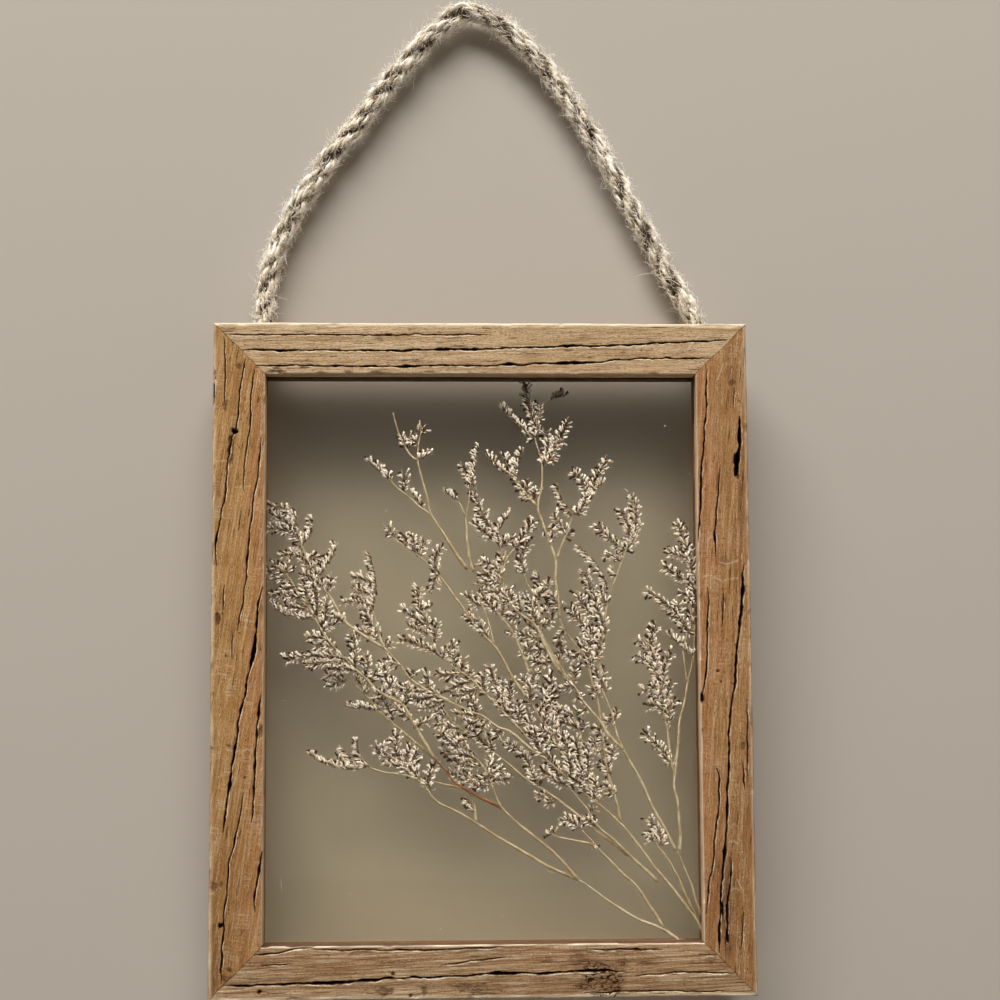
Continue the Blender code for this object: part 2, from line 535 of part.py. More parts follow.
    "side_long_branch": {
        "layer": 2,
        "stems": [
            [(135.5, 31), (127, 37.5), (121, 42), (115.5, 47), (110, 51.5), (105.5, 54.5),
             (97.5, 59.5), (90.5, 65.5), (84, 70.5), (79, 73.5), (74.5, 77.5), (70.5, 80.5),
             (67.5, 84.5), (65.5, 87.5)],
        ],
        "spikes": [
            (BOTH, 106, 53.5, 100, 54, 0.6), (BOTH, 107.5, 53, 103, 51, 0.7),
            (BOTH, 102.5, 56.5, 98, 64, -0.4), (BOTH, 99.5, 58, 87.5, 74, -2.9),
            (BOTH, 84, 70.5, 83, 79.5, 0.5), (BOTH, 81.5, 72, 73.5, 81, -0.4),
            (BOTH, 76, 76, 67.5, 77.5, 1.5), (BOTH, 72.5, 79, 62.5, 81.5, 0.3),
            (BOTH, 68.5, 83, 61, 85, -0.4), (BOTH, 66, 86.5, 57.5, 89.5, -0.9),
        ],
    },
    "low_twig_sprig": {
        "layer": 1,
        "stems": [
            [(148, 4), (146.5, 7), (142.5, 13.5), (138, 20), (131.5, 26), (122.5, 35.5), (118, 41)],
            [(122, 35.5), (116.5, 36.5), (110, 38), (107, 39)],
        ],
        "spikes": [
            (BOTH, 118, 41, 108.5, 43.5, -1.5), (BOTH, 116.5, 42.5, 110.5, 45.5, -1.3),
            (BOTH, 107.5, 38.5, 104.5, 41, -0.3), (BOTH, 122, 35.5, 121, 33.5, 0.8),
        ],
    },
}


def remove_everything():
    """Empty the scene that the script is run in."""
    for obj in list(bpy.data.objects):
        bpy.data.objects.remove(obj, do_unlink=True)


def new_collection(name, parent=None):
    collection = bpy.data.collections.new(name)
    (parent or bpy.context.scene.collection).children.link(collection)
    return collection


def new_material(name, color, roughness, metallic=0.0, transmission=0.0):
    material = bpy.data.materials.new(name)
    material.use_nodes = True
    shader = material.node_tree.nodes["Principled BSDF"]
    shader.inputs["Base Color"].default_value = (*color, 1.0)
    shader.inputs["Roughness"].default_value = roughness
    shader.inputs["Metallic"].default_value = metallic
    shader.inputs["Transmission Weight"].default_value = transmission
    material.diffuse_color = (*color, 1.0)
    return material


def move_to(obj, collection):
    for old in list(obj.users_collection):
        old.objects.unlink(obj)
    collection.objects.link(obj)


def make_cutter(obj, collection):
    move_to(obj, collection)
    obj.hide_render = True
    obj.display_type = "WIRE"


def box(name, size, centre):
    """A box with its scale applied, so that a later bevel is even."""
    bpy.ops.mesh.primitive_cube_add(size=1)
    obj = bpy.context.object
    obj.name = name
    for vertex in obj.data.vertices:
        vertex.co = Vector(a * b for a, b in zip(vertex.co, size))
    obj.location = centre
    return obj


def curve_to_mesh(curve_object):
    """Turn a curve object into a closed mesh object of the same name, and remove the curve."""
    depsgraph = bpy.context.evaluated_depsgraph_get()
    mesh = bpy.data.meshes.new_from_object(curve_object.evaluated_get(depsgraph))
    shape = bmesh.new()
    shape.from_mesh(mesh)
    bmesh.ops.remove_doubles(shape, verts=shape.verts, dist=WELD)
    bmesh.ops.recalc_face_normals(shape, faces=shape.faces)
    shape.to_mesh(mesh)
    shape.free()
    name = curve_object.name
    world = curve_object.matrix_world.copy()
    bpy.data.objects.remove(curve_object, do_unlink=True)
    obj = bpy.data.objects.new(name, mesh)
    obj.matrix_world = world
    bpy.context.scene.collection.objects.link(obj)
    return obj


def flat_piece(name, outline, middle_y, thickness):
    """A flat piece parallel to the panes, from an outline of (x, z) points."""
    curve = bpy.data.curves.new(name, "CURVE")
    curve.dimensions = "2D"
    curve.fill_mode = "BOTH"
    curve.extrude = thickness / 2
    spline = curve.splines.new("POLY")
    spline.points.add(len(outline) - 1)
    for point, (x, z) in zip(spline.points, outline):
        point.co = (x, z, 0, 1)
    spline.use_cyclic_u = True
    obj = bpy.data.objects.new(name, curve)
    obj.location = (0, middle_y, 0)
    obj.rotation_euler = (math.pi / 2, 0, 0)
    bpy.context.scene.collection.objects.link(obj)
    bpy.context.view_layer.update()
    return curve_to_mesh(obj)


def tube(name, points, diameter, sides_level):
    """A round tube along the points, with filled ends."""
    curve = bpy.data.curves.new(name, "CURVE")
    curve.dimensions = "3D"
    curve.bevel_depth = diameter / 2
    curve.bevel_resolution = sides_level
    curve.use_fill_caps = True
    spline = curve.splines.new("POLY")
    spline.points.add(len(points) - 1)
    for point, place in zip(spline.points, points):
        point.co = (*place, 1)
    obj = bpy.data.objects.new(name, curve)
    bpy.context.scene.collection.objects.link(obj)
    bpy.context.view_layer.update()
    return curve_to_mesh(obj)


def smooth_points(route, spacing):
    """Points at an even spacing on a smooth curve through the route."""
    fine = []
    last = len(route) - 1
    for i in range(last):
        before, start, end, after = (route[max(i - 1, 0)], route[i], route[i + 1], route[min(i + 2, last)])
        for step in range(FINE_STEPS):
            t = step / FINE_STEPS
            fine.append(start + 0.5 * t * (end - before)
                        + t * t * (before - 2.5 * start + 2 * end - 0.5 * after)
                        + t ** 3 * (1.5 * (start - end) + 0.5 * (after - before)))
    fine.append(route[-1])
    length = sum((b - a).length for a, b in zip(fine, fine[1:]))
    count = round(length / spacing)
    even = [fine[0]]
    walked = 0.0
    for a, b in zip(fine, fine[1:]):
        step_length = (b - a).length
        while len(even) < count and walked + step_length >= len(even) * length / count:
            share = (len(even) * length / count - walked) / step_length
            even.append(a.lerp(b, share))
        walked += step_length
    even.append(fine[-1])
    return even


def add_boolean(obj, cutters):
    cut = obj.modifiers.new("cut", "BOOLEAN")
    cut.operation = "DIFFERENCE"
    cut.operand_type = "COLLECTION"
    cut.collection = cutters
    cut.solver = "EXACT"


def band_outline(points, half_widths):
    """The outline of a band along points, with a half width on each side at each point."""
    left = []
    right = []
    for i, point in enumerate(points):
        along = points[min(i + 1, len(points) - 1)] - points[max(i - 1, 0)]
        across = Vector((-along.y, along.x)).normalized()
        left_width, right_width = half_widths[i]
        left.append(point + across * left_width)
        if left_width or right_width:
            right.append(point - across * right_width)
    return [tuple(point) for point in left + right[::-1]]


def rail_outline(name):
    """The mitred outline of one side of the frame, seen from the front."""
    mitre = GAP / 2 * math.sqrt(2)
    half_long, edge = FRAME_WIDTH / 2, FRAME_HEIGHT / 2
    if name.endswith("stile"):
        half_long, edge = edge, half_long
    outline = [
        (-half_long + mitre, edge), (half_long - mitre, edge),
        (half_long - RAIL_FACE - mitre, edge - RAIL_FACE),
        (-half_long + RAIL_FACE + mitre, edge - RAIL_FACE),
    ]
    turn = {
        "top_rail": lambda a, b: (a, b), "bottom_rail": lambda a, b: (-a, -b),
        "left_stile": lambda a, b: (-b, a), "right_stile": lambda a, b: (b, -a),
    }[name]
    return [(x, z + FRAME_MIDDLE_Z) for x, z in (turn(a, b) for a, b in outline)]


def add_crack_cutters(rail_name, cutters):
    """One thin lens-shaped cutter for each crack, deepest at the front face."""
    for number, (width, points) in enumerate(CRACKS[rail_name]):
        line = [Vector((x * MM - FRAME_WIDTH / 2, FRAME_BOTTOM_Z + z * MM)) for x, z in points]
        half = width * MM / 2
        widths = [(0, 0)] + [(half, half)] * (len(line) - 2) + [(0, 0)]
        cutter = flat_piece(f"{rail_name}_crack_{number}", band_outline(line, widths),
                            FRAME_FRONT_Y, 2 * CRACK_DEPTH)
        make_cutter(cutter, cutters)


def add_rail(name, wood, parts, all_cutters):
    """One mitred side of the frame, with its rebate and cracks cut."""
    middle_y = FRAME_FRONT_Y + FRAME_DEPTH / 2
    rail = flat_piece(name, rail_outline(name), middle_y, FRAME_DEPTH)
    move_to(rail, parts)
    rail.data.materials.append(wood)
    bevel = rail.modifiers.new("worn_arris", "BEVEL")
    bevel.width = ARRIS
    bevel.segments = 1
    bevel.limit_method = "ANGLE"
    cutters = new_collection(name + "_cutters", all_cutters)
    rebate_depth = FRAME_DEPTH - LIP
    rebate = box(
        name + "_rebate",
        (WINDOW_WIDTH + 2 * REBATE, 2 * rebate_depth, WINDOW_HEIGHT + 2 * REBATE),
        (0, FRAME_BACK_Y, FRAME_MIDDLE_Z),
    )
    make_cutter(rebate, cutters)
    add_crack_cutters(name, cutters)
    if name == "top_rail":
        for x, z in staple_places():
            for side in (-1, 1):
                bpy.ops.mesh.primitive_cylinder_add(
                    vertices=STAPLE_HOLE_SIDES, radius=STAPLE_WIRE / 2 + GAP, depth=2 * (STAPLE_REACH + GAP),
                    location=(x + side * staple_half_width(), FRAME_BACK_Y, z),
                    rotation=(math.pi / 2, 0, 0))
                make_cutter(bpy.context.object, cutters)
    add_boolean(rail, cutters)


def staple_places():
    """Where the two staples cross the rope, at the points next to its two ends."""
    return [(x * MM, z * MM) for x, z in (ROPE_ROUTE[1], ROPE_ROUTE[-2])]


def staple_half_width():
    return ROPE_DIAMETER / 2 + GAP + STAPLE_WIRE / 2


def add_staple(name, place, steel, parts):
    """A bent wire over the rope, with its legs in the holes of the top rail."""
    x, z = place
    half = staple_half_width()
    crown_y = half
    leg_y = FRAME_BACK_Y - STAPLE_REACH
    corner = STAPLE_WIRE
    path = [
        (x - half, leg_y, z), (x - half, crown_y - corner, z), (x - half + corner, crown_y, z),
        (x + half - corner, crown_y, z), (x + half, crown_y - corner, z), (x + half, leg_y, z),
    ]
    staple = tube(name, path, STAPLE_WIRE, 1)
    move_to(staple, parts)
    staple.data.materials.append(steel)


def add_pane(name, front_y, glass, parts):
    size = (WINDOW_WIDTH + 2 * (REBATE - GAP), PANE, WINDOW_HEIGHT + 2 * (REBATE - GAP))
    pane = box(name, size, (0, front_y + PANE / 2, FRAME_MIDDLE_Z))
    move_to(pane, parts)
    pane.data.materials.append(glass)


def add_beads(wood, parts):
    """Four plain glazing beads behind the back pane, the side ones between the other two."""
    outer_x = WINDOW_WIDTH / 2 + REBATE - GAP
    outer_z = WINDOW_HEIGHT / 2 + REBATE - GAP
    middle_y = BEADS_Y + BEAD_DEPTH / 2
    side_length = 2 * (outer_z - BEAD_WIDTH - GAP)
    for name, size, x, z in (
        ("top_bead", (2 * outer_x, BEAD_DEPTH, BEAD_WIDTH), 0, outer_z - BEAD_WIDTH / 2),
        ("bottom_bead", (2 * outer_x, BEAD_DEPTH, BEAD_WIDTH), 0, BEAD_WIDTH / 2 - outer_z),
        ("left_bead", (BEAD_WIDTH, BEAD_DEPTH, side_length), BEAD_WIDTH / 2 - outer_x, 0),
        ("right_bead", (BEAD_WIDTH, BEAD_DEPTH, side_length), outer_x - BEAD_WIDTH / 2, 0),
    ):
        bead = box(name, size, (x, middle_y, FRAME_MIDDLE_Z + z))
        move_to(bead, parts)
        bead.data.materials.append(wood)


def on_window(across, up):
    """A point given in millimetres on the window, as (x, z) in metres."""
    return Vector((WINDOW_LEFT_X + across * MM, WINDOW_BOTTOM_Z + up * MM))


def stem_outline(points):
    count = len(points)
    widths = [(STEM_FOOT + (STEM_TIP - STEM_FOOT) * i / (count - 1)) / 2 for i in range(count)]
    return band_outline(points, [(width, width) for width in widths])


def nearest_point(point, lines):
    """The point nearest to the given one on a list of lines of points."""
    best = None
    for line in lines:
        for a, b in zip(line, line[1:]):
            along = b - a
            share = min(1.0, max(0.0, (point - a).dot(along) / along.length_squared))
            candidate = a + along * share
            if best is None or (candidate - point).length < (best - point).length:
                best = candidate
    return best


def spike_line(spike, lines):
    """The middle line of a spike, from the stem or spike it grows on to its tip."""
    side, foot_across, foot_up, tip_across, tip_up, bow = spike
    foot = nearest_point(on_window(foot_across, foot_up), lines)
    tip = on_window(tip_across, tip_up)
    chord = tip - foot
    left = Vector((-chord.y, chord.x)).normalized()
    shares = (0.0, 0.35, 0.7, 1.0) if chord.length > LONG_SPIKE else (0.0, 0.5, 1.0)
    return [foot + chord * share + left * (4 * bow * MM * share * (1 - share)) for share in shares]


def spike_outline(side, line):
    """A spike's flat outline: narrow at the foot, widest where its flowers stand, pointed at the tip."""
    reach = {
        BOTH: (SPIKE_REACH, SPIKE_REACH), LEFT: (SPIKE_SIDE_REACH, SPIKE_BARE_SIDE),
        RIGHT: (SPIKE_BARE_SIDE, SPIKE_SIDE_REACH),
    }[side]
    foot = (SPIKE_BARE_SIDE, SPIKE_BARE_SIDE)
    widths = [foot] + [reach] * (len(line) - 2) + [(0, 0)]
    return band_outline(line, widths)


def sprig_outlines(sprig):
    """The flat outlines of one sprig's stems and spikes."""
    lines = [[on_window(*point) for point in stem] for stem in sprig["stems"]]
    outlines = [stem_outline(line) for line in lines]
    for spike in sprig["spikes"]:
        line = spike_line(spike, lines)
        outlines.append(spike_outline(spike[0], line))
        lines.append(line)
    return outlines


def add_sprig(name, sprig, straw, parts, all_cutters):
    """One pressed sprig: its stems and spikes joined in one flat solid."""
    middle_y = SPRIGS_Y + GAP + SPRIG_THICKNESS / 2 + sprig["layer"] * LAYER_PITCH
    outlines = sprig_outlines(sprig)
    pieces = [
        flat_piece(f"{name}_{number}", outline, middle_y, SPRIG_THICKNESS)
        for number, outline in enumerate(outlines)
    ]
    body = pieces[0]
    if len(pieces) > 1:
        twigs = new_collection(name + "_twigs", all_cutters)
        for piece in pieces[1:]:
            make_cutter(piece, twigs)
        union = body.modifiers.new("grow", "BOOLEAN")
        union.operation = "UNION"
        union.operand_type = "COLLECTION"
        union.collection = twigs
        union.solver = "EXACT"
        body = finished_copy(body)
        for piece in pieces:
            bpy.data.objects.remove(piece, do_unlink=True)
        bpy.data.collections.remove(twigs)
    body.name = name
    move_to(body, parts)
    body.data.materials.append(straw)


def finished_copy(obj):
    """A new object with the modifiers applied and its flat faces merged."""
    bpy.context.view_layer.update()
    depsgraph = bpy.context.evaluated_depsgraph_get()
    mesh = bpy.data.meshes.new_from_object(obj.evaluated_get(depsgraph))
    shape = bmesh.new()
    shape.from_mesh(mesh)
    bmesh.ops.remove_doubles(shape, verts=shape.verts, dist=WELD)
    bmesh.ops.dissolve_limit(shape, angle_limit=FLAT_ANGLE, verts=shape.verts, edges=shape.edges)
    shape.to_mesh(mesh)
    shape.free()
    copy = bpy.data.objects.new(obj.name + "_done", mesh)
    copy.matrix_world = obj.matrix_world
    bpy.context.scene.collection.objects.link(copy)
    return copy


def add_rope(jute, parts):
    route = [Vector((x * MM, 0, z * MM)) for x, z in ROPE_ROUTE]
    rope = tube("hanging_rope", smooth_points(route, ROPE_POINTS_APART), ROPE_DIAMETER, 2)
    move_to(rope, parts)
    rope.data.materials.append(jute)


def main():
    remove_everything()
    parts = new_collection("pressed_flower_frame")
    cutters = new_collection("cutters")
    rail_wood = new_material("weathered_pine_rail", (0.42, 0.27, 0.14), 0.8)
    stile_wood = new_material("weathered_pine_stile", (0.44, 0.24, 0.10), 0.8)
    bead_wood = new_material("dark_pine_bead", (0.12, 0.07, 0.04), 0.85)
    glass = new_material("window_glass", (0.80, 0.82, 0.76), 0.05, transmission=1.0)
    straw = new_material("dried_stems_and_flowers", (0.72, 0.64, 0.50), 0.9)
    jute = new_material("jute", (0.55, 0.45, 0.32), 0.95)
    steel = new_material("staple_steel", (0.35, 0.35, 0.36), 0.45, metallic=1.0)
    for name, wood in (
        ("top_rail", rail_wood), ("bottom_rail", rail_wood),
        ("left_stile", stile_wood), ("right_stile", stile_wood),
    ):
        add_rail(name, wood, parts, cutters)
    add_pane("front_pane", FRONT_PANE_Y, glass, parts)
    add_pane("back_pane", BACK_PANE_Y, glass, parts)
    add_beads(bead_wood, parts)
    for name, place in zip(("left_staple", "right_staple"), staple_places()):
        add_staple(name, place, steel, parts)
    add_rope(jute, parts)
    for name, sprig in SPRIGS.items():
        add_sprig(name, sprig, straw, parts, cutters)
    bpy.context.view_layer.update()


if __name__ == "__main__":
    main()
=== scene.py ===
"""Looks of the pressed flower frame.

Sprays of dried sea lavender lie between two panes of old window glass, in a frame of weathered pine
that hangs from a loop of jute rope. The script is laid out as a Blender add-on and is run as a script.
Lengths named in the settings and lists are millimetres, turned to metres where meshes are made.
X runs to the viewer's right, Y away from the viewer and Z up.
"""

import math
import random
from functools import partial

import bmesh
import bpy
import numpy as np
from mathutils import Euler, Matrix, Vector


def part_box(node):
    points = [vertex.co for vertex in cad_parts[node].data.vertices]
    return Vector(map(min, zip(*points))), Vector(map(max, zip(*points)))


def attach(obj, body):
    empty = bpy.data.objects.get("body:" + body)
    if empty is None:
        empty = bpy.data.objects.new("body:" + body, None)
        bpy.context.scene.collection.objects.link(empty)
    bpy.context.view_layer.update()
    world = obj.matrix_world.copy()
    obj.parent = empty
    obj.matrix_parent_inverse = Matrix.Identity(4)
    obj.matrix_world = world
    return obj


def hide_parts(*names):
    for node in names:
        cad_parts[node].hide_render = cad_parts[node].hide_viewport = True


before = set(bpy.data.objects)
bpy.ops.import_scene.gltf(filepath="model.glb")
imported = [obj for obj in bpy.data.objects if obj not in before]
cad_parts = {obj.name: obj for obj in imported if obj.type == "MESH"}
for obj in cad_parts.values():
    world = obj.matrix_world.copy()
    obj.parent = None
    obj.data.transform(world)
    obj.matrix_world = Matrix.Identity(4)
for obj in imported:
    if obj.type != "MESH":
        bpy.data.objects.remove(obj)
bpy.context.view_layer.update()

bl_info = {
    "name": "Pressed Flower Frame",
    "version": (1, 0, 0),
    "blender": (4, 5, 0),
    "location": "View3D > Sidebar > Flower Frame",
    "description": "Builds the visible pieces of a pressed flower frame around its solids",
    "category": "Add Mesh",
}

MM = 0.001
GAP = 0.3  # left between pieces that touch

# Places read from the solids, in millimetres.
FRAME_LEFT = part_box("left_stile")[0].x / MM
FRAME_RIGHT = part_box("right_stile")[1].x / MM
FRAME_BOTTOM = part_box("bottom_rail")[0].z / MM
FRAME_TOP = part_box("top_rail")[1].z / MM
FRAME_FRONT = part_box("left_stile")[0].y / MM
FRAME_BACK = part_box("left_stile")[1].y / MM
FRAME_WIDTH = FRAME_RIGHT - FRAME_LEFT
FRAME_HEIGHT = FRAME_TOP - FRAME_BOTTOM
FRAME_DEPTH = FRAME_BACK - FRAME_FRONT
RAIL_FACE = (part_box("left_stile")[1].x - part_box("left_stile")[0].x) / MM
WINDOW_LEFT = FRAME_LEFT + RAIL_FACE
WINDOW_BOTTOM = FRAME_BOTTOM + RAIL_FACE
PANE_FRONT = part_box("front_pane")[0].y / MM
LIP = PANE_FRONT - GAP - FRAME_FRONT
REBATE = WINDOW_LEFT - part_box("front_pane")[0].x / MM + GAP

# Cracks in the wood, as (width, points across and up from the frame's lower left corner).
CRACKS = {
    "top_rail": [
        (0.75, [(4, 246), (54.5, 246), (103.5, 246)]),
        (1.0, [(10.5, 240), (69.5, 240), (129.5, 241.5), (178.5, 243.5), (193, 244)]),
        (1.0, [(16, 234), (69.5, 234), (129.5, 235), (161, 237), (187, 237)]),
    ],
    "left_stile": [
        (0.6, [(0.5, 232), (0, 219.5)]),
        (0.6, [(4, 245), (4, 218)]),
        (0.8, [(12, 237), (10, 226), (8.5, 212), (6, 204), (5, 190), (3.5, 179.5), (1.5, 168.5),
          (1, 157.5)]),
        (0.6, [(15, 233.5), (14, 222.5), (13, 208), (11.5, 197), (11, 186.5)]),
        (0.8, [(17.5, 206.5), (16, 190), (14.5, 179.5), (13, 163), (12, 150.5), (9.5, 134.5)]),
        (1.2, [(18.5, 150.5), (17, 143.5), (15.5, 128.5), (13, 114.5), (10.5, 102.5), (9.5, 96), (8, 86),
          (7, 77.5), (5.5, 68), (4.5, 60.5)]),
        (0.5, [(4.5, 151.5), (3.5, 140.5)]),
        (0.5, [(7.5, 134.5), (7.5, 123.5)]),
        (1.2, [(18, 110.5), (17, 101), (16, 81.5), (15.5, 68), (15, 64)]),
        (0.7, [(12, 75), (10, 63), (8.5, 55.5), (7, 48.5), (6.5, 38), (5.5, 33), (5, 24.5), (4.5, 15),
          (4.5, 5.5)]),
        (1.3, [(19, 53.5), (18, 47), (16.5, 38), (16.5, 31.5)]),
    ],
    "bottom_rail": [
        (0.6, [(16, 16), (28, 17.5), (38, 19)]),
        (0.5, [(19, 12), (30.5, 13)]),
        (1.0, [(5, 5), (29, 5.5), (49.5, 6), (68, 7.5), (87.5, 7.5), (103, 8.5), (117, 8.5), (134, 9),
          (152, 9)]),
        (0.6, [(155, 7), (174.5, 8.5), (192, 7.5)]),
        (0.5, [(84, 12), (110, 14.5)]),
        (0.6, [(137.5, 17), (165.5, 16.5)]),
        (0.6, [(37.5, 18.2), (54.5, 17.6), (76.5, 17.2), (91, 17.6), (107.5, 18.1)]),
        (0.5, [(179, 15), (186, 14.5)]),
        (0.6, [(137, 1.5), (157, 1.5), (190, 1.5)]),
    ],
    "right_stile": [
        (1.0, [(185.5, 232.5), (184.5, 215), (183, 196), (182.5, 183.5), (181.5, 174), (180.5, 160.5)]),
        (0.8, [(189.5, 196), (188.5, 183.5), (187.5, 171), (187.5, 160.5)]),
        (1.4, [(197.5, 215), (197.5, 204.5), (196.5, 200), (196.5, 191)]),
        (0.5, [(195.5, 226.5), (195, 218)]),
        (1.1, [(198, 159), (197, 142), (196, 136.5), (194.5, 121), (193.5, 111.5), (192, 101.5), (191, 87),
          (190.5, 71.5), (190, 60.5), (188.5, 46.5), (187.5, 35), (186.5, 15)]),
        (0.8, [(184.5, 150), (183.5, 121), (182, 110.5), (181, 106)]),
        (0.5, [(190, 150), (189.5, 135)]),
        (0.5, [(198.5, 108), (198, 78.5)]),
        (0.8, [(186.5, 83), (187.5, 78.5), (187, 69), (185.5, 58), (184.5, 46.5), (183, 41), (182, 29.5)]),
        (0.8, [(191.5, 52), (190.5, 38), (189.5, 24), (189, 16)]),
        (0.5, [(196.5, 85.5), (196.5, 74.5)]),
        (0.5, [(195.5, 32.5), (194.5, 14)]),
    ],
}

# Knots, holes and stains, as (across, up, width, height, how dark, how deep).
KNOTS = {
    "top_rail": [
        (22.9, 231.6, 5, 1.8, 0.5, 0.5), (62, 244, 2.6, 1.6, 0.4, 0.1), (133, 240, 3, 1.4, 0.4, 0.1),
    ],
    "left_stile": [
        (7.6, 209.1, 1.9, 2.0, 1.0, 1.4), (6.5, 203, 1.8, 9.5, 0.75, 0.9), (9.1, 233.4, 1.8, 2, 0.7, 0.2),
        (4.0, 218.6, 1.9, 3.4, 0.7, 0.3), (16.6, 220.9, 1.0, 2.2, 0.7, 0.2),
        (2.1, 138.4, 2.0, 4.6, 0.8, 0.7), (18.4, 97.3, 1.9, 5.0, 0.7, 0.4), (6.6, 92, 1.6, 1.1, 0.8, 0.3),
        (5.3, 125.2, 0.9, 0.8, 0.8, 0.3), (12.5, 80.3, 1.2, 0.9, 0.8, 0.3), (1.6, 40.9, 1.8, 3.4, 0.6, 0.3),
        (4.1, 41.6, 1.3, 1.8, 0.7, 0.2), (4.0, 26.8, 1.6, 1.8, 1.0, 0.8), (7.2, 10.9, 1.8, 1.8, 0.75, 0.2),
        (6.3, 7.3, 3.0, 2.4, 0.6, 0.2), (2.2, 12, 3.4, 30, 0.28, 0.0),
    ],
    "bottom_rail": [
        (143.2, 6.3, 15.5, 12, 1.0, 0.3), (97.2, 2.9, 11, 4, 0.9, 0.15), (133.8, 12.8, 5.5, 6.5, 0.4, 0.0),
        (63.3, 2.2, 6.5, 3, 0.7, 0.3), (18.3, 2.9, 1.4, 1.4, 0.9, 0.5), (78.2, 2.7, 2.2, 3, 0.75, 0.2),
        (73.1, 0.9, 1.2, 1.2, 0.9, 0.3), (66.9, 8.8, 1.6, 1.2, 0.85, 0.3), (151, 12, 4, 5, 0.3, 0.0),
        (183, 13, 3, 4, 0.35, 0.0),
    ],
    "right_stile": [
        (195.1, 227.6, 2.6, 2.6, 0.6, 0.3), (196.1, 195.5, 2.0, 8.5, 0.85, 1.2),
        (181.6, 108.8, 1.8, 4.0, 0.85, 0.8), (189.2, 33, 3.6, 36, 0.6, 0.5),
        (197.1, 220.7, 1.0, 1.0, 0.8, 0.2), (187.6, 118.9, 1.3, 1.1, 0.85, 0.3),
        (188.6, 114.8, 1.0, 0.9, 0.85, 0.3), (190.9, 159.4, 3.4, 4, 0.35, 0.2),
        (197.4, 181, 2.2, 20, 0.35, 0.1), (196.5, 91, 1.4, 3, 0.6, 0.3), (189.6, 21.5, 1.3, 6.5, 0.9, 0.9),
        (188.0, 30, 0.8, 9, 0.85, 0.7),
    ],
}

# Fine scratches across the wood, each a line of points.
WOOD_SCRATCHES = {
    "top_rail": [[(182.9, 246.1), (180, 243), (178.3, 240.5)]],
    "left_stile": [[(6, 90.5), (10, 90.1), (14, 90.6)], [(1, 197.8), (5.4, 198)], [(8, 188), (14, 188.4)]],
    "bottom_rail": [],
    "right_stile": [
        [(182.5, 154.2), (185.5, 154.6), (188.2, 153.3), (189.8, 152.2), (191.8, 153.2), (195.5, 153.5)],
        [(189, 159.6), (191.5, 158.8), (196, 160.2)], [(184.6, 168), (186, 169.6), (187.4, 168.6)],
        [(191.4, 61), (192.4, 62.4), (193.6, 61.6)], [(190.4, 55.4), (192.2, 56.2), (193.8, 55.2)],
        [(190.6, 37.5), (192.4, 38.8), (194.2, 38)], [(193.5, 42), (195.6, 37.5)],
        [(189.4, 229), (191.5, 235)],
    ],
}

# How strongly each moulding is ridged, how much of it is redder by the window, how clearly it shows the
# marks of the saw, and how strongly its face towards the glass is painted pale as a highlight (less than
# nothing: painted dark as shade).
WOOD_LOOKS = {
    "top_rail": (0.6, 0.05, 0.08, 0.0), "bottom_rail": (1.3, 0.1, 0.05, -0.95),
    "left_stile": (0.8, 0.5, 0.15, 0.4), "right_stile": (0.9, 0.45, 0.1, 0.5),
}

# How pale the edges of each moulding are: wear, and painted highlight, strongest on the rails, whose edges
# face the light above.
EDGE_WEAR_AND_HIGHLIGHT = {"top_rail": 1.0, "bottom_rail": 0.9, "left_stile": 0.55, "right_stile": 0.45}

# How far the grain of each moulding drifts in from its outer edge for each millimetre along it.
GRAIN_DRIFT = {"top_rail": -0.02, "left_stile": 0.15, "bottom_rail": 0.03, "right_stile": -0.08}

# The middle line of the rope, as (across, up) in the plane y = 0.
ROPE_ROUTE = [
    (-85.5, -150), (-86, -138), (-85.6, -124), (-85.2, -111), (-83.3, -101), (-80, -91), (-75.5, -81),
    (-71, -73), (-65, -63), (-58, -53), (-51, -44.5), (-42.5, -33), (-34, -21.5), (-25, -11),
    (-16, -1.5), (-6, 5.2), (4.5, 3.2), (13.5, -3.8), (22, -11.8), (30, -21.7), (37, -31.7),
    (44, -43.3), (50, -54), (56, -65), (61.3, -75.5), (67, -86), (72.3, -97), (78.3, -107.5),
    (84, -117.3), (86.8, -124), (86.6, -138), (85, -150),
]
STAPLES = {"left_staple": (-86, -138), "right_staple": (86.6, -138)}

BOTH = 0
LEFT = 1
RIGHT = -1

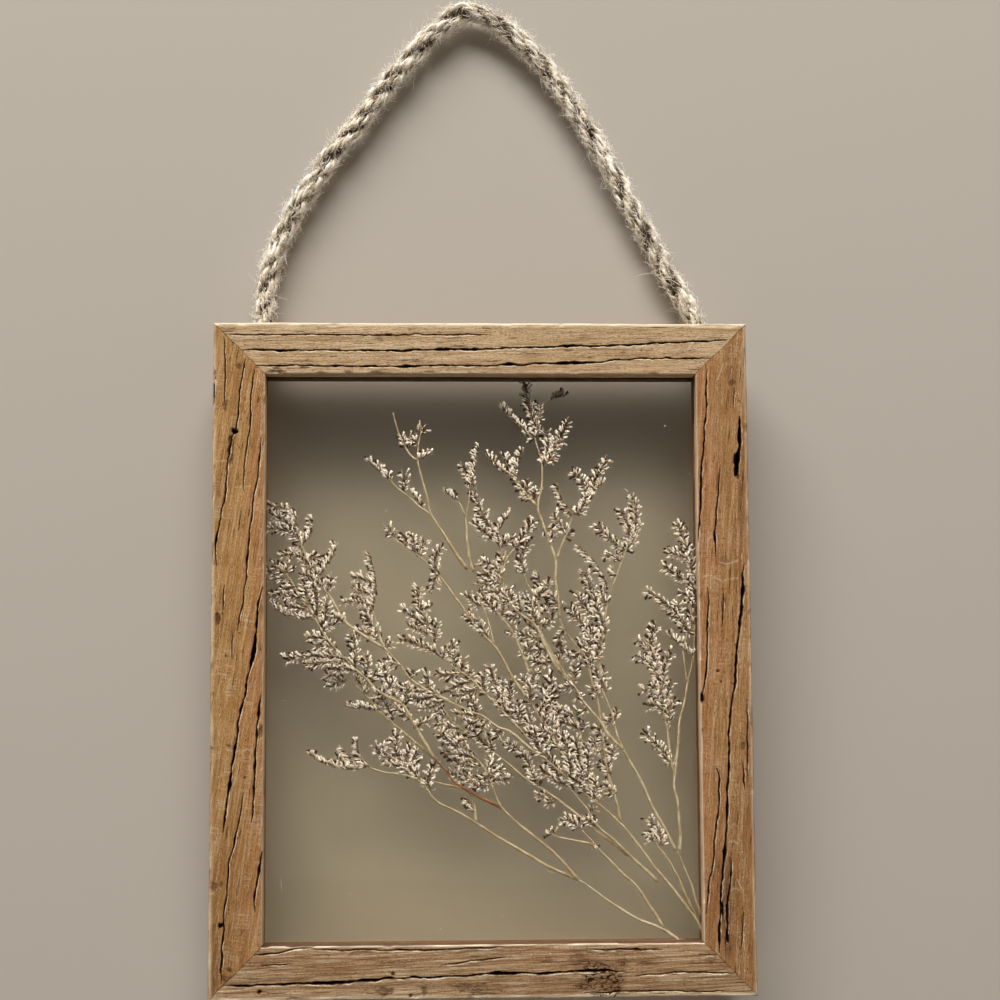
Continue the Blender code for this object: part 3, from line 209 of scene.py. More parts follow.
# Sprigs, from the window's lower left corner, each as (stems, spikes). A stem is a list of points from
# its foot up. A spike is (foot across and up, tip across and up, bow to its left), and last the side that
# its flowers stand on where they do not stand on both.
SPRIGS = {
    "low_stem": ([
    [(154.5, -1), (148.5, 3.5), (138.5, 7.5), (129, 13.5), (117, 22)]
    ], []),
    "low_left_branch": ([
    [(116.5, 22), (105.5, 27), (95.5, 33), (86, 38.5), (78.5, 43.5), (71.5, 47.5), (63.5, 51.5), (60.5, 56),
     (56.5, 60.5), (51.5, 63.5)],
    [(59, 58.5), (51.5, 61.5), (44, 62.5), (38, 64.5)]
    ], [
    (38, 64.5, 15, 70, 2.8, RIGHT), (37.5, 65, 34, 76, 1, LEFT), (35, 64.5, 27, 73, 0.2, LEFT),
    (31, 64.5, 25, 68.5, -0.5, RIGHT), (53, 63, 42.5, 64.5, -1.1, RIGHT), (51.5, 63.5, 48.5, 78.5, 2.3),
    (49, 67.5, 40.5, 74.5, 1.8), (43.5, 70, 45.5, 75.5, 1, RIGHT), (55, 62, 54, 74.5, 2.9),
    (57.5, 60, 58, 71.5, 2.9), (60.5, 56, 64, 68, 2.1)]),
    "low_upshoot": ([
    [(78.5, 43.5), (78, 49), (76.5, 54), (75, 57), (73.5, 61)],
    [(76, 55.5), (71, 57), (66, 58), (61, 59.5)]
    ], [
    (77, 47.5, 74, 53.5, -0.2, LEFT), (74.5, 57, 64.5, 72, -1.4), (74, 60, 67, 63, -0.8)]),
    "low_right_branch": ([
    [(116, 22.5), (111.5, 28), (105.5, 34), (98, 40), (92, 45), (88, 49), (86, 53.5), (83.5, 59.5),
     (81.5, 64), (78, 68), (74.5, 71.5)]
    ], [
    (76, 70, 63, 78.5, 0.8), (78, 67.5, 68.5, 70.5, -0.7), (80, 66, 71, 67.5, 0.9),
    (82, 61.5, 74, 62.5, 1.9), (83.5, 58, 76, 59.5, 1.8), (83.5, 59.5, 92.5, 60.5, 0.6),
    (83, 60.5, 89.5, 62.5, 1.5), (81.5, 64, 81.5, 68.5, -3)]),
    "red_twig": ([
    [(88, 49), (84, 51), (78, 54), (73, 57), (70.5, 58.5), (67.5, 62.5), (62.5, 68)]
    ], []),
    "left_low_spray": ([
    [(62.5, 68), (59.5, 70.5), (54, 75), (49.5, 79), (46.5, 81.5), (44, 86.5), (39.5, 91.5)],
    [(46.5, 81.5), (42.5, 85), (39.5, 88), (37, 91.5), (34, 94.5), (31, 97), (27.5, 98.5)]
    ], [
    (42, 85, 29, 86.5, -0.7, RIGHT), (27.5, 98.5, 20.5, 101, -0.2), (29, 97.5, 20, 97.5, 0.2),
    (28.5, 98, 21.5, 95, 0.3), (37, 91.5, 32, 99, -0.5, RIGHT), (44, 86.5, 39.5, 92.5, 0.2),
    (46.5, 82, 41, 92, -0.7)]),
    "left_mid_spray": ([
    [(62.5, 68), (56.5, 78.5), (54, 82.5), (51, 88), (45.5, 91), (40.5, 94), (38, 97), (34, 100.5),
     (30.5, 104.5), (26.5, 108), (23.5, 112), (20.5, 116), (18, 121), (15.5, 125.5), (12, 129), (10, 133.5),
     (7.5, 136.5), (6, 140)]
    ], [
    (56, 80, 62.5, 83, 0.5), (54, 82.5, 47, 88, 0.1), (51, 88, 50.5, 96, -2.1), (48.5, 89.5, 43, 105, 1.3),
    (44, 91.5, 39.5, 92.5, -1.2), (42.5, 92.5, 49, 98.5, 0.3), (38.5, 96.5, 44.5, 101, 0.6),
    (35.5, 99, 35.5, 108.5, -1.5), (33.5, 101.5, 21.5, 102, -0.6), (32, 103, 30.5, 115.5, -1.1),
    (30.5, 104, 13.5, 103, -0.1), (29, 105, 5, 105.5, -1.6), (26, 108.5, 16.5, 110, -1),
    (23.5, 112, 13.5, 113, -1.6), (20.5, 116, 27, 118.5, 1.4), (19.5, 118, 20, 129, -2.1),
    (18, 120.5, 1, 126, 2.2, RIGHT), (18, 122, 14.5, 136.5, -1.7), (15.5, 125.5, 4.5, 127, 0.9),
    (15, 126.5, 13.5, 135, 0.4), (12, 128.5, 0, 129.5, -1.2), (10, 133, 3, 130.5, -0.1),
    (8.5, 135, -0.5, 142, 1.7, LEFT), (7, 137.5, 3, 143, 1.2), (7, 137.5, 7, 143, -0.8)]),
    "left_up_stem": ([
    [(68.5, 89), (59.5, 93.5), (54.5, 97), (52, 100), (48.5, 104.5), (44, 109.5)]
    ], [
    (65, 90.5, 60.5, 101, 2.4), (62.5, 92, 51.5, 92.5, 1.5), (59.5, 93.5, 47.5, 95.5, 0.5),
    (54, 97, 55.5, 101.5, 0.6), (66, 90, 55, 87.5, 1.1), (50, 102.5, 44.5, 106.5, 1.1)]),
    "left_up_column": ([
    [(43.5, 109.5), (42, 114), (41, 119), (39.5, 123.5)]
    ], [
    (39.5, 123.5, 38, 146.5, -2, LEFT), (39.5, 125, 26.5, 127, -1.6), (39, 130.5, 31, 133, 0.4),
    (39, 134.5, 30, 137, -0.6), (39.5, 123.5, 35, 125, 1.1), (41.5, 114.5, 35.5, 123, 1.1),
    (42.5, 112.5, 31, 115.5, -0.8), (43.5, 109.5, 46, 114, -0.8)]),
    "far_left_branch": ([
    [(43.5, 109.5), (38.5, 112.5), (33.5, 116), (29, 119.5), (26.5, 123.5), (24, 128), (21.5, 131.5),
     (19, 136.5), (16, 140.5), (14.5, 144), (13, 148), (12, 151.5), (10.5, 156)]
    ], [
    (29, 119.5, 20.5, 121, -1.6), (21.5, 131.5, 24, 138.5, -0.5), (20.5, 133.5, 11.5, 138, -1.2),
    (19, 136.5, 26.5, 149.5, -1.1, LEFT), (16.5, 139.5, 4, 144.5, -3.3), (14.5, 143.5, 22, 141.5, 1.1),
    (13, 148, 16.5, 160, -1.8, LEFT), (13, 150, -0.5, 154.5, -1.9), (11, 154.5, 0.5, 161, -0.8),
    (10.5, 155.5, 7.5, 164, -0.9, LEFT), (10, 158, -0.5, 163, -1.7), (13.5, 147, 10, 149.5, 0.1, LEFT)]),
    "top_left_sprig": ([
    [(75.5, 139), (71.5, 144.5), (66, 153.5), (61.5, 160), (60.5, 165.5), (59, 171.5), (57, 179.5),
     (57, 185), (57.5, 189), (58, 192.5), (57.5, 196)],
    [(61.5, 160), (58, 162.5), (53, 167), (50.5, 169), (49, 170), (46, 173.5)],
    [(57, 180.5), (54, 182.5), (52, 185.5), (50.5, 188.5), (49.5, 191), (47.5, 199)]
    ], [
    (46.5, 172.5, 36.5, 181, -0.4, RIGHT), (46, 173.5, 44, 179.5, -0.4, LEFT),
    (50.5, 169.5, 50.5, 177.5, -0.6), (58, 162.5, 53.5, 169, -0.3, RIGHT), (52, 185.5, 49.5, 191.5, 0.4),
    (57, 187, 52, 190, 0.2), (57.5, 180.5, 63, 183, 0.4, LEFT), (58, 191.5, 56, 193, -0.2),
    (58, 192, 60, 194.5, 0.1)]),
    "left_long_sprig": ([
    [(97.5, 90.5), (92.5, 97.5), (89, 104.5), (85.5, 110), (82, 113.5), (78.5, 118.5), (75, 122.5),
     (69, 131), (64, 137.5), (59.5, 142), (54.5, 146), (50, 149), (46.5, 152)],
    [(85.5, 110), (83.5, 118), (82, 123), (80.5, 126.5)]
    ], [
    (47.5, 151, 43.5, 156.5, 0.2), (51.5, 147.5, 50, 153, -0.4), (54.5, 146, 53, 153.5, -0.3),
    (56.5, 144.5, 58.5, 152, -0.4), (64, 137.5, 66, 149, 2.3), (64, 137.5, 62, 129.5, -1.1),
    (79.5, 116.5, 74, 123, -0.1), (82.5, 113, 77.5, 121.5, 0.4), (81.5, 126, 74.5, 131, 0.4)]),
    "centre_bent_twig": ([
    [(99, 99), (97, 104.5), (95, 109.5), (92, 116), (87, 122.5)]
    ], [
    (87, 122.5, 79.5, 130, -0.5), (88, 121.5, 88, 127.5, -1.1), (92, 116, 90, 113, 0.2),
    (95.5, 107.5, 94.5, 105.5, 0.3)]),
    "thin_top_twig": ([
    [(78, 138), (76.5, 142.5), (75.5, 152), (75, 159), (76, 164), (76.5, 169.5)],
    [(75, 159), (73, 164), (71, 165.5)]
    ], [
    (76.5, 169, 80, 187.5, -0.6, LEFT), (77, 171, 73, 180.5, 0.2), (71.5, 165, 66, 169, -0.3, RIGHT)]),
    "centre_top_spray": ([
    [(110.5, 100), (107.5, 104.5), (105, 110), (101, 118), (94.5, 123), (90, 129.5), (88.5, 137.5),
     (89, 142.5), (88, 148.5), (86, 151.5)],
    [(88.5, 137.5), (90.5, 142.5), (93.5, 147)]
    ], [
    (86, 151.5, 76.5, 159.5, 0.4), (86.5, 151, 77, 170, 1.2), (88, 148.5, 93, 160.5, 2.3, LEFT),
    (88.5, 148.5, 95, 152.5, 0.6), (93.5, 147, 101.5, 159, -0.5), (89, 140.5, 89, 147, 0.8),
    (88.5, 136.5, 79, 142, -1.9), (88.5, 136, 78.5, 137.5, -0.7), (89, 134, 79, 132, -1.1),
    (90, 129.5, 81, 130.5, -1.2), (91.5, 127.5, 82, 126.5, -0.4), (92.5, 126, 90.5, 133.5, 0),
    (95, 122.5, 93, 131, 0.1), (97, 121, 90, 123, 1.4), (101, 118, 97.5, 129, 0)]),
    "centre_column_spray": ([
    [(113, 95.5), (110.5, 101.5), (106.5, 108.5), (103.5, 115), (103, 122.5), (101.5, 128), (98.5, 133),
     (96.5, 139)]
    ], [
    (96.5, 138, 99.5, 151, 2.7), (101.5, 128, 107.5, 135.5, -0.3), (101.5, 128, 101, 139, -2.2, LEFT),
    (102.5, 125.5, 96, 131, 0.7), (103, 122.5, 107.5, 131, -1), (103.5, 118, 107.5, 125, -1.6),
    (103.5, 116, 96, 119, -0.4), (105, 112, 93, 115, 0.2), (106.5, 108.5, 95.5, 109.5, 0.9),
    (108, 105.5, 98.5, 105.5, 1.5), (109, 104.5, 108, 113.5, -2.1)]),
    "tall_stem": ([
    [(133, 43), (131.5, 49.5), (129.5, 56.5), (127.5, 64.5), (126.5, 73.5), (125.5, 81.5), (124.5, 89.5),
     (122.5, 96), (120.5, 104.5), (116.5, 110), (113, 114.5), (110.5, 120)]
    ], [
    (121.5, 101.5, 123, 117.5, 0.7), (120.5, 103.5, 125.5, 113, -1), (119, 106.5, 117, 113.5, -0.4),
    (118, 108, 111.5, 109, 2), (124.5, 89.5, 121, 95.5, 0.2), (126.5, 73.5, 123.5, 81, 0.5),
    (127.5, 64.5, 130, 73.5, -0.1), (128, 61, 125.5, 68, 0.7), (130, 53.5, 126, 59, 1.1),
    (127, 71, 123, 72.5, 2.4), (112, 116.5, 109, 110, -0.7)]),
    "tall_top": ([
    [(110.5, 120.5), (110, 127.5), (109, 135), (109, 142), (107, 148.5), (104.5, 156), (102.5, 162.5),
     (104, 170.5), (104, 178.5), (103, 184), (101.5, 189), (102.5, 193), (102, 197.5)],
    [(102.5, 196.5), (105.5, 203), (110, 205)]
    ], [
    (101.5, 189, 87.5, 202, 0.6, RIGHT), (102, 192, 97.5, 212, 1.5), (102, 196.5, 101.5, 204.5, -0.8),
    (107.5, 204.5, 114, 206.5, -0.3, LEFT), (101.5, 189, 97, 190.5, 0.1), (104.5, 179, 110, 183.5, -0.2),
    (104, 179, 104.5, 193.5, -1), (105, 180, 114.5, 197.5, 0.3), (108, 185.5, 112.5, 188.5, 0.5),
    (110, 124.5, 107, 131, 1.4), (105, 155, 109.5, 154, -0.7), (106.5, 153.5, 108.5, 149, 0.5)]),
    "tall_left_branch": ([
    [(102, 163), (100, 165.5), (95.5, 171), (92.5, 174.5)]
    ], [
    (92.5, 174.5, 82.5, 183.5, 1.1, RIGHT), (93, 174, 88, 184, -0.5, RIGHT),
    (100, 165.5, 97.5, 185.5, 3.9, LEFT), (100.5, 164.5, 102.5, 171, 1.3), (98, 168, 99, 174, 1)]),
    "tall_right_branch": ([
    [(109.5, 143), (111, 147), (113, 151.5), (114.5, 156), (116, 160)]
    ], [
    (113, 152.5, 107.5, 160.5, 0), (113, 151.5, 114.5, 155, -0.9), (116, 159.5, 110, 172, 0.9, LEFT),
    (116, 159.5, 125, 168.5, -0.5, LEFT), (116.5, 161, 129, 183, 0.2), (120.5, 169, 114.5, 177, -1.1),
    (122.5, 166.5, 128.5, 172.5, 0.9, LEFT)]),
    "right_stem": ([
    [(162.5, 8.5), (160.5, 15.5), (157.5, 24), (154, 32.5)]
    ], []),
    "right_tall_branch": ([
    [(153.5, 32.5), (149, 41.5), (144.5, 50), (140.5, 59), (134.5, 70), (131.5, 77), (129.5, 85.5),
     (126.5, 93), (125.5, 98.5), (126.5, 112), (128, 121), (129.5, 129.5), (133, 138), (135.5, 145),
     (137, 149)]
    ], [
    (137, 148.5, 137, 169.5, -2.3), (136.5, 147.5, 132.5, 163.5, -1.6), (135.5, 146, 124.5, 157.5, 0.9),
    (134, 142, 126.5, 144, -1.4), (130, 130.5, 117, 148.5, -1.9, LEFT), (135.5, 146, 138.5, 150, -0.9),
    (132, 136, 131, 140.5, 0.5, LEFT), (128.5, 125, 128.5, 132.5, 1.8), (126.5, 114.5, 118.5, 139.5, -0.4),
    (125, 120.5, 117, 131, 1.6), (125, 120.5, 123, 131, 0.9), (126.5, 112, 117, 116.5, -1.5),
    (126.5, 112, 113, 126, 1.1), (126.5, 93, 127, 101.5, 0.9), (126, 94.5, 123.5, 103.5, 1),
    (129.5, 83, 126, 83.5, 1.7), (130, 82.5, 133.5, 85.5, 0.7)]),
    "right_side_twig": ([
    [(134, 70.5), (128, 76.5), (125, 81.5), (118.5, 89.5), (117, 92.5), (114, 97), (111, 101),
     (108.5, 106.5)]
    ], [
    (117, 92.5, 120, 91.5, -1.6), (116, 94, 109, 93, -0.2), (120, 87.5, 115.5, 87, 2.4),
    (122, 100, 116, 104, -0.2)]),
    "right_sprig": ([
    [(154.5, 32.5), (155, 38), (154.5, 44), (154, 51.5), (153, 57), (153.5, 62.5), (154.5, 70), (155, 76),
     (155.5, 81.5), (157.5, 89), (158.5, 96), (160, 101), (161, 106), (161.5, 112), (161.5, 117.5)],
    [(158.5, 96), (157.5, 102.5), (157, 108)],
    [(157.5, 107.5), (158, 112), (160, 118), (160, 123.5), (159, 128)]
    ], [
    (160.5, 105.5, 150.5, 115, 0.2, RIGHT), (156, 115, 141.5, 131, -1.8), (153.5, 120.5, 155, 128, 0),
    (160, 119, 162, 122.5, 1.5), (160, 116.5, 161.5, 116.5, -1.5), (159.5, 125.5, 155.5, 131.5, -0.1),
    (160.5, 124, 156.5, 137, -2.5), (159, 135, 149.5, 142, 0.4), (161.5, 131, 159.5, 140, -1.6),
    (162, 135.5, 150, 145.5, -4.2), (161.5, 141.5, 155, 157.5, -0.5)]),
    "right_inner_sprig": ([
    [(154, 61), (152, 65.5), (151.5, 71), (151, 78), (150, 82.5), (149.5, 86), (150, 90), (149, 95)],
    [(151, 77.5), (152.5, 80.5)]
    ], [
    (151.5, 63.5, 141, 77.5, -0.9), (152.5, 80, 155, 90, 2.1), (149.5, 85.5, 142, 87, -1.6),
    (149.5, 87, 140, 93.5, -1.6), (149.5, 90, 143, 95.5, -1.6), (150, 89, 152.5, 98, 0.6),
    (148.5, 93.5, 137, 106.5, -2.4), (149, 95, 153, 109, 1.6), (146.5, 100, 137.5, 112.5, -2.3),
    (145, 105, 147, 119, 1.8), (145.5, 104.5, 147, 111.5, -0.5)]),
    "small_sprig": ([
    [(160.5, 7.5), (155.5, 19.5), (152.5, 25.5), (150, 30), (147.5, 33), (145.5, 36.5)]
    ], [
    (146, 36, 141.5, 36, -1.5), (146, 36, 141, 39.5, -1.4, LEFT), (147, 34.5, 140.5, 45.5, -2),
    (146.5, 36.5, 145.5, 41, -0.6)]),
    "main_stem": ([
    [(163, 2), (160.5, 7), (155.5, 13.5), (150, 21), (144.5, 27.5), (139, 35), (133, 42.5), (127, 48),
     (119.5, 54), (111, 61.5), (105.5, 66.5)]
    ], [
    (124, 50.5, 119.5, 58, 0.3), (121.5, 52.5, 121.5, 61.5, -0.8), (118.5, 54.5, 113, 60.5, -0.1),
    (115.5, 57.5, 117, 66, -1.2), (112.5, 60.5, 111.5, 68.5, -1.2)]),
    "main_top_branch": ([
    [(105, 67), (98, 72), (91.5, 77.5), (86.5, 79.5), (82, 83), (78.5, 84.5), (68.5, 89)]
    ], [
    (102.5, 68.5, 100, 79.5, 1.2), (87.5, 79, 84, 74.5, 0.2), (82, 82.5, 78.5, 76.5, 0.1),
    (78.5, 84.5, 68.5, 85.5, -0.1), (79.5, 84, 73, 82, 1.8), (78, 85, 73.5, 90.5, -1.1)]),
    "upper_fan": ([
    [(105.5, 66), (97.5, 75.5), (89, 84.5), (82.5, 91.5), (76, 98), (71, 101.5), (65.5, 106), (63.5, 109),
     (61.5, 114), (59.5, 118)]
    ], [
    (60, 117, 56, 134, 1.4), (59.5, 119.5, 49.5, 125.5, -0.3), (58, 125, 63, 126, 0.1),
    (61, 115, 52, 119, -0.5), (62.5, 112, 63, 120.5, 0.2), (64, 108.5, 48.5, 114, -0.3),
    (65.5, 106, 72, 111.5, 1.2), (70.5, 101.5, 67.5, 109, -0.6), (72, 101, 71.5, 107.5, -1.2),
    (73.5, 100, 62.5, 100, 1), (75, 98, 76.5, 102.5, 0.2), (76.5, 97, 66, 92.5, -0.5),
    (79.5, 94, 69.5, 90.5, 0.3), (81.5, 92, 81, 100.5, 1.1), (87, 87, 82.5, 103.5, -0.4),
    (89.5, 84, 88.5, 98.5, 1.4), (91.5, 82, 91, 98.5, -0.5), (94.5, 79, 93.5, 90, -0.8),
    (97.5, 75, 97, 87, -0.8)]),
    "behind_fan": ([
    [(125, 50), (120.5, 55.5), (116, 63), (110, 70.5), (106.5, 76), (103, 82), (100, 87), (98, 90)]
    ], [
    (98, 89.5, 93.5, 98.5, -1.5), (99.5, 88, 102, 101.5, 1.2), (101.5, 85, 103, 96, -1.7),
    (104, 81, 106, 100, -1.9), (105, 79, 110.5, 87.5, -0.2), (107, 75, 101.5, 79, -0.9),
    (110, 70.5, 107.5, 80, -0.1), (113, 66.5, 110, 77.5, -1), (116, 63, 115, 76, -0.6),
    (118.5, 58.5, 119.5, 74, -0.7), (108.5, 72.5, 100.5, 73.5, -0.5)]),
    "inner_stem": ([
    [(127.5, 51.5), (124, 57.5), (121.5, 63), (119.5, 69.5), (117.5, 78), (116, 83), (115, 89.5),
     (113, 95.5)]
    ], [
    (117.5, 77, 120, 83, 0.1), (120, 68, 121.5, 77, -1.6), (116.5, 80, 108.5, 82, -0.2),
    (116, 83, 107, 87, 0.2)]),
    "side_stem": ([
    [(146.5, 21), (142, 25.5), (137, 30), (132, 35), (123.5, 42.5), (120.5, 48), (118.5, 50.5),
     (114.5, 55.5), (110, 61)]
    ], [
    (123.5, 42.5, 118, 46, -0.7), (120.5, 47.5, 120.5, 50.5, -0.8), (114.5, 55.5, 110, 63, -0.6),
    (112, 58.5, 105.5, 63.5, 1), (110, 60.5, 102, 66, 1.2), (110, 60.5, 103.5, 70, -0.6)]),
    "side_long_branch": ([
    [(135.5, 31), (127, 37.5), (121, 42), (115.5, 47), (110, 51.5), (105.5, 54.5), (97.5, 59.5),
     (90.5, 65.5), (84, 70.5), (79, 73.5), (74.5, 77.5), (70.5, 80.5), (67.5, 84.5), (65.5, 87.5)]
    ], [
    (106, 53.5, 100, 54, 0.6), (107.5, 53, 103, 51, 0.7), (102.5, 56.5, 98, 64, -0.4),
    (99.5, 58, 87.5, 74, -2.9), (84, 70.5, 83, 79.5, 0.5), (81.5, 72, 73.5, 81, -0.4),
    (76, 76, 67.5, 77.5, 1.5), (72.5, 79, 62.5, 81.5, 0.3), (68.5, 83, 61, 85, -0.4),
    (66, 86.5, 57.5, 89.5, -0.9)]),
    "low_twig_sprig": ([
    [(148, 4), (146.5, 7), (142.5, 13.5), (138, 20), (131.5, 26), (122.5, 35.5), (118, 41)],
    [(122, 35.5), (116.5, 36.5), (110, 38), (107, 39)]
    ], [
    (118, 41, 108.5, 43.5, -1.5), (116.5, 42.5, 110.5, 45.5, -1.3), (107.5, 38.5, 104.5, 41, -0.3),
    (122, 35.5, 121, 33.5, 0.8)]),
}


def linear(hex_colour):
    """An sRGB hex colour as the linear values that Blender works in."""
    parts = [int(hex_colour[i:i + 2], 16) / 255 for i in (1, 3, 5)]
    return [part / 12.92 if part <= 0.04045 else ((part + 0.055) / 1.055) ** 2.4 for part in parts]


def colour_setting(name, description, hex_colour):
    """A setting for a colour."""
    return bpy.props.FloatVectorProperty(
        name=name, description=description, subtype="COLOR", size=3, min=0, max=1,
        default=linear(hex_colour))


def length_setting(name, description, millimetres):
    """A setting for a length, given in millimetres and kept in metres."""
    return bpy.props.FloatProperty(
        name=name, description=description, default=millimetres * MM, unit="LENGTH")


class WoodSettings(bpy.types.PropertyGroup):
    """The weathered pine of the frame."""

    top_pale: colour_setting("Top Pale", "Palest wood of the top rail", "#D4BB98")
    top_brown: colour_setting("Top Brown", "Darker wood of the top rail", "#AE9069")
    bottom_pale: colour_setting("Bottom Pale", "Palest wood of the bottom rail", "#BCA27E")
    bottom_brown: colour_setting("Bottom Brown", "Darker wood of the bottom rail", "#987957")
    left_pale: colour_setting("Left Pale", "Palest wood of the left stile", "#B68E5A")
    left_brown: colour_setting("Left Brown", "Darker wood of the left stile", "#926734")
    right_pale: colour_setting("Right Pale", "Palest wood of the right stile", "#AE8657")
    right_brown: colour_setting("Right Brown", "Darker wood of the right stile", "#8B5F35")
    reddish: colour_setting("Reddish", "Redder wood nearer the window", "#B57E54")
    # Streak also paints the shade round the borders of cracks.
    streak_and_shade: colour_setting("Streak", "Thin dark lines along the grain", "#6E4828")
    # Crack and Crack Side paint the shade inside the cracks.
    crack: colour_setting("Crack", "Deep inside the cracks", "#160A03")
    crack_side: colour_setting("Crack Side", "Sides of the cracks", "#3E2614")
    # Knot also paints the shade on the bottom rail's face towards the glass.
    knot: colour_setting("Knot", "Knots and stains", "#4A3020")
    # Worn Edge also paints the highlights: crack rims, edges towards the light, the face towards the glass.
    worn_and_highlight: colour_setting("Worn Edge", "Wood laid bare along the edges", "#F0E0C4")
    crack_depth: length_setting("Crack Depth", "Depth of a crack one millimetre wide", 2.0)
    ridge_height: length_setting(
        "Ridge Height", "Height of the ridges that weather leaves along the grain", 0.09)


class GlassSettings(bpy.types.PropertyGroup):
    """The two panes."""

    tint: colour_setting("Tint", "Colour that the thickness of the glass takes on", "#DED9CC")
    absorption: bpy.props.FloatProperty(
        name="Absorption", description="Density of the tint, per metre", default=95.0, min=0)
    lets_through: colour_setting("Lets Through", "Lamp light that a pane lets through", "#ECEAE2")
    speck: colour_setting("Speck", "Dried specks on the glass", "#D8CFBE")


class FlowerSettings(bpy.types.PropertyGroup):
    """The pressed sprays of sea lavender."""

    calyx_length: length_setting("Calyx Length", "Length of one dried calyx", 3.2)
    calyx_spacing: length_setting("Calyx Spacing", "Distance between calyces along a spike", 0.26)
    calyx_lean: bpy.props.FloatProperty(
        name="Calyx Lean", description="Angle of a calyx away from its spike",
        default=math.radians(46), subtype="ANGLE")
    flatness: bpy.props.FloatProperty(
        name="Flatness", description="Thickness left to a calyx by the press, as a share", default=0.55,
        min=0.1, max=1)
    stem_foot: length_setting("Stem Foot", "Width of a main stem at its foot", 1.25)
    stem_tip: length_setting("Stem Tip", "Width of a stem at its tip", 0.5)
    petal: colour_setting("Petal", "Papery rim of a calyx", "#E9E0D5")
    calyx_base: colour_setting("Calyx Base", "Brown base and scales of a calyx", "#4D3422")
    # The bract colour is also the painted shade between the calyces.
    bract_and_shade: colour_setting("Bract", "Dry brown scales behind the calyces", "#2E1D12")
    stem: colour_setting("Stem", "Dried stems", "#B4A992")
    red_stem: colour_setting("Red Stem", "The one reddish twig", "#96603C")


class RopeSettings(bpy.types.PropertyGroup):
    """The hanging rope of jute."""

    diameter: length_setting("Diameter", "Diameter of the rope", 8)
    strand_lay: length_setting("Strand Lay", "Length in which a strand goes once round the rope", 34)
    fibres: bpy.props.IntProperty(
        name="Loose Fibres", description="Number of fibres that stand off the rope", default=2000, min=0)
    pale: colour_setting("Pale Jute", "Palest fibres", "#FFF9EC")
    # The brown is also the painted shade deep in the rope.
    brown: colour_setting("Brown Jute", "Darkest fibres", "#3F2C1A")


class StageSettings(bpy.types.PropertyGroup):
    """Wall, floor and light round the object."""

    wall: colour_setting("Wall", "Pale wall and floor", "#A7A097")
    key_power: bpy.props.FloatProperty(
        name="Key Power", description="Power of the large soft light above", default=178.0,
        unit="POWER")


SMOOTH = {"interpolation_type": "SMOOTHSTEP"}  # for a MapRange node


def add_node(tree, kind, inputs=(), **settings):
    """Add a node, set its properties, and set or link its inputs, given in order or by name.

    A kind without Node in its name is a shader node. A node given as an input stands for its first
    output, and a colour for the same colour, fully opaque.
    """
    made = tree.nodes.new(kind if "Node" in kind else "ShaderNode" + kind)
    for name, value in settings.items():
        setattr(made, name, value)
    for name, value in inputs.items() if isinstance(inputs, dict) else enumerate(inputs):
        socket = made.inputs[name]
        if isinstance(value, (bpy.types.Node, bpy.types.NodeSocket)):
            tree.links.new(value.outputs[0] if isinstance(value, bpy.types.Node) else value, socket)
        else:
            socket.default_value = (*value, 1.0) if socket.type == "RGBA" else value
    return made


def new_material(name):
    """An empty node material, and add_node for its tree."""
    material = bpy.data.materials.new(name)
    material.use_nodes = True
    material.node_tree.nodes.clear()
    return material, partial(add_node, material.node_tree)


def stretched_noise(node, place, across, along, detail, roughness=0.55, shift=0.0):
    """Noise whose spots are a given size, in millimetres, across and along the local Z axis."""
    scaled = node("Mapping", {
        "Vector": place, "Scale": (1 / (across * MM), 1 / (across * MM), 1 / (along * MM)),
        "Location": (shift, shift * 0.7, shift * 1.3)})
    return node("TexNoise", {"Vector": scaled, "Scale": 1.0, "Detail": detail, "Roughness": roughness})


def layered(node, colour, *layers):
    """Colours laid over a first one, each as strongly as its mask says.

    A layer is (mask, colour), or (mask, low, high, least, most, colour): then its strength goes smoothly
    from least to most while the mask goes from low to high. Least and most may be left out for 0 and 1.
    """
    for mask, *limits, paint in layers:
        if limits:
            mask = node("MapRange", (mask, *limits), **SMOOTH)
        colour = node("Mix", {0: mask, 6: colour, 7: paint}, data_type="RGBA").outputs[2]
    return colour


# Numpy noise for the shapes.

def lattice(column, row, seed):
    """A fixed random number from 0 to 1 for each whole place."""
    mixed = (column * 374761393 + row * 668265263 + seed * 144269504) & 0xFFFFFFFF
    mixed = ((mixed ^ (mixed >> 13)) * 1274126177) & 0xFFFFFFFF
    return ((mixed ^ (mixed >> 16)) & 0xFFFFFF) / 0xFFFFFF


def soft_noise(x, y, seed):
    """Smooth noise from -1 to 1, with spots one unit wide."""
    x, y = np.broadcast_arrays(np.asarray(x, float), np.asarray(y, float))
    column, row = np.floor(x).astype(np.int64), np.floor(y).astype(np.int64)
    right, up = x - column, y - row
    right, up = right * right * (3 - 2 * right), up * up * (3 - 2 * up)
    low = lattice(column, row, seed) * (1 - right) + lattice(column + 1, row, seed) * right
    high = lattice(column, row + 1, seed) * (1 - right) + lattice(column + 1, row + 1, seed) * right
    return 2 * (low * (1 - up) + high * up) - 1


def kinked(x, seed):
    """Noise from -1 to 1 in straight runs one unit long, for lines that break rather than bend."""
    x = np.asarray(x, float)
    column = np.floor(x).astype(np.int64)
    share = x - column
    return 2 * (lattice(column, 0, seed) * (1 - share) + lattice(column + 1, 0, seed) * share) - 1


def units(vectors):
    """Rows of vectors brought to unit length."""
    return vectors / np.linalg.norm(vectors, axis=1)[:, None]


def walked_along(line):
    """The distance from the start of a line to each of its points."""
    return np.concatenate([[0], np.cumsum(np.linalg.norm(np.diff(line, axis=0), axis=1))])


def points_at(line, places):
    """The points at given distances along a line."""
    walked = walked_along(line)
    return np.stack([np.interp(places, walked, column) for column in line.T], axis=1)


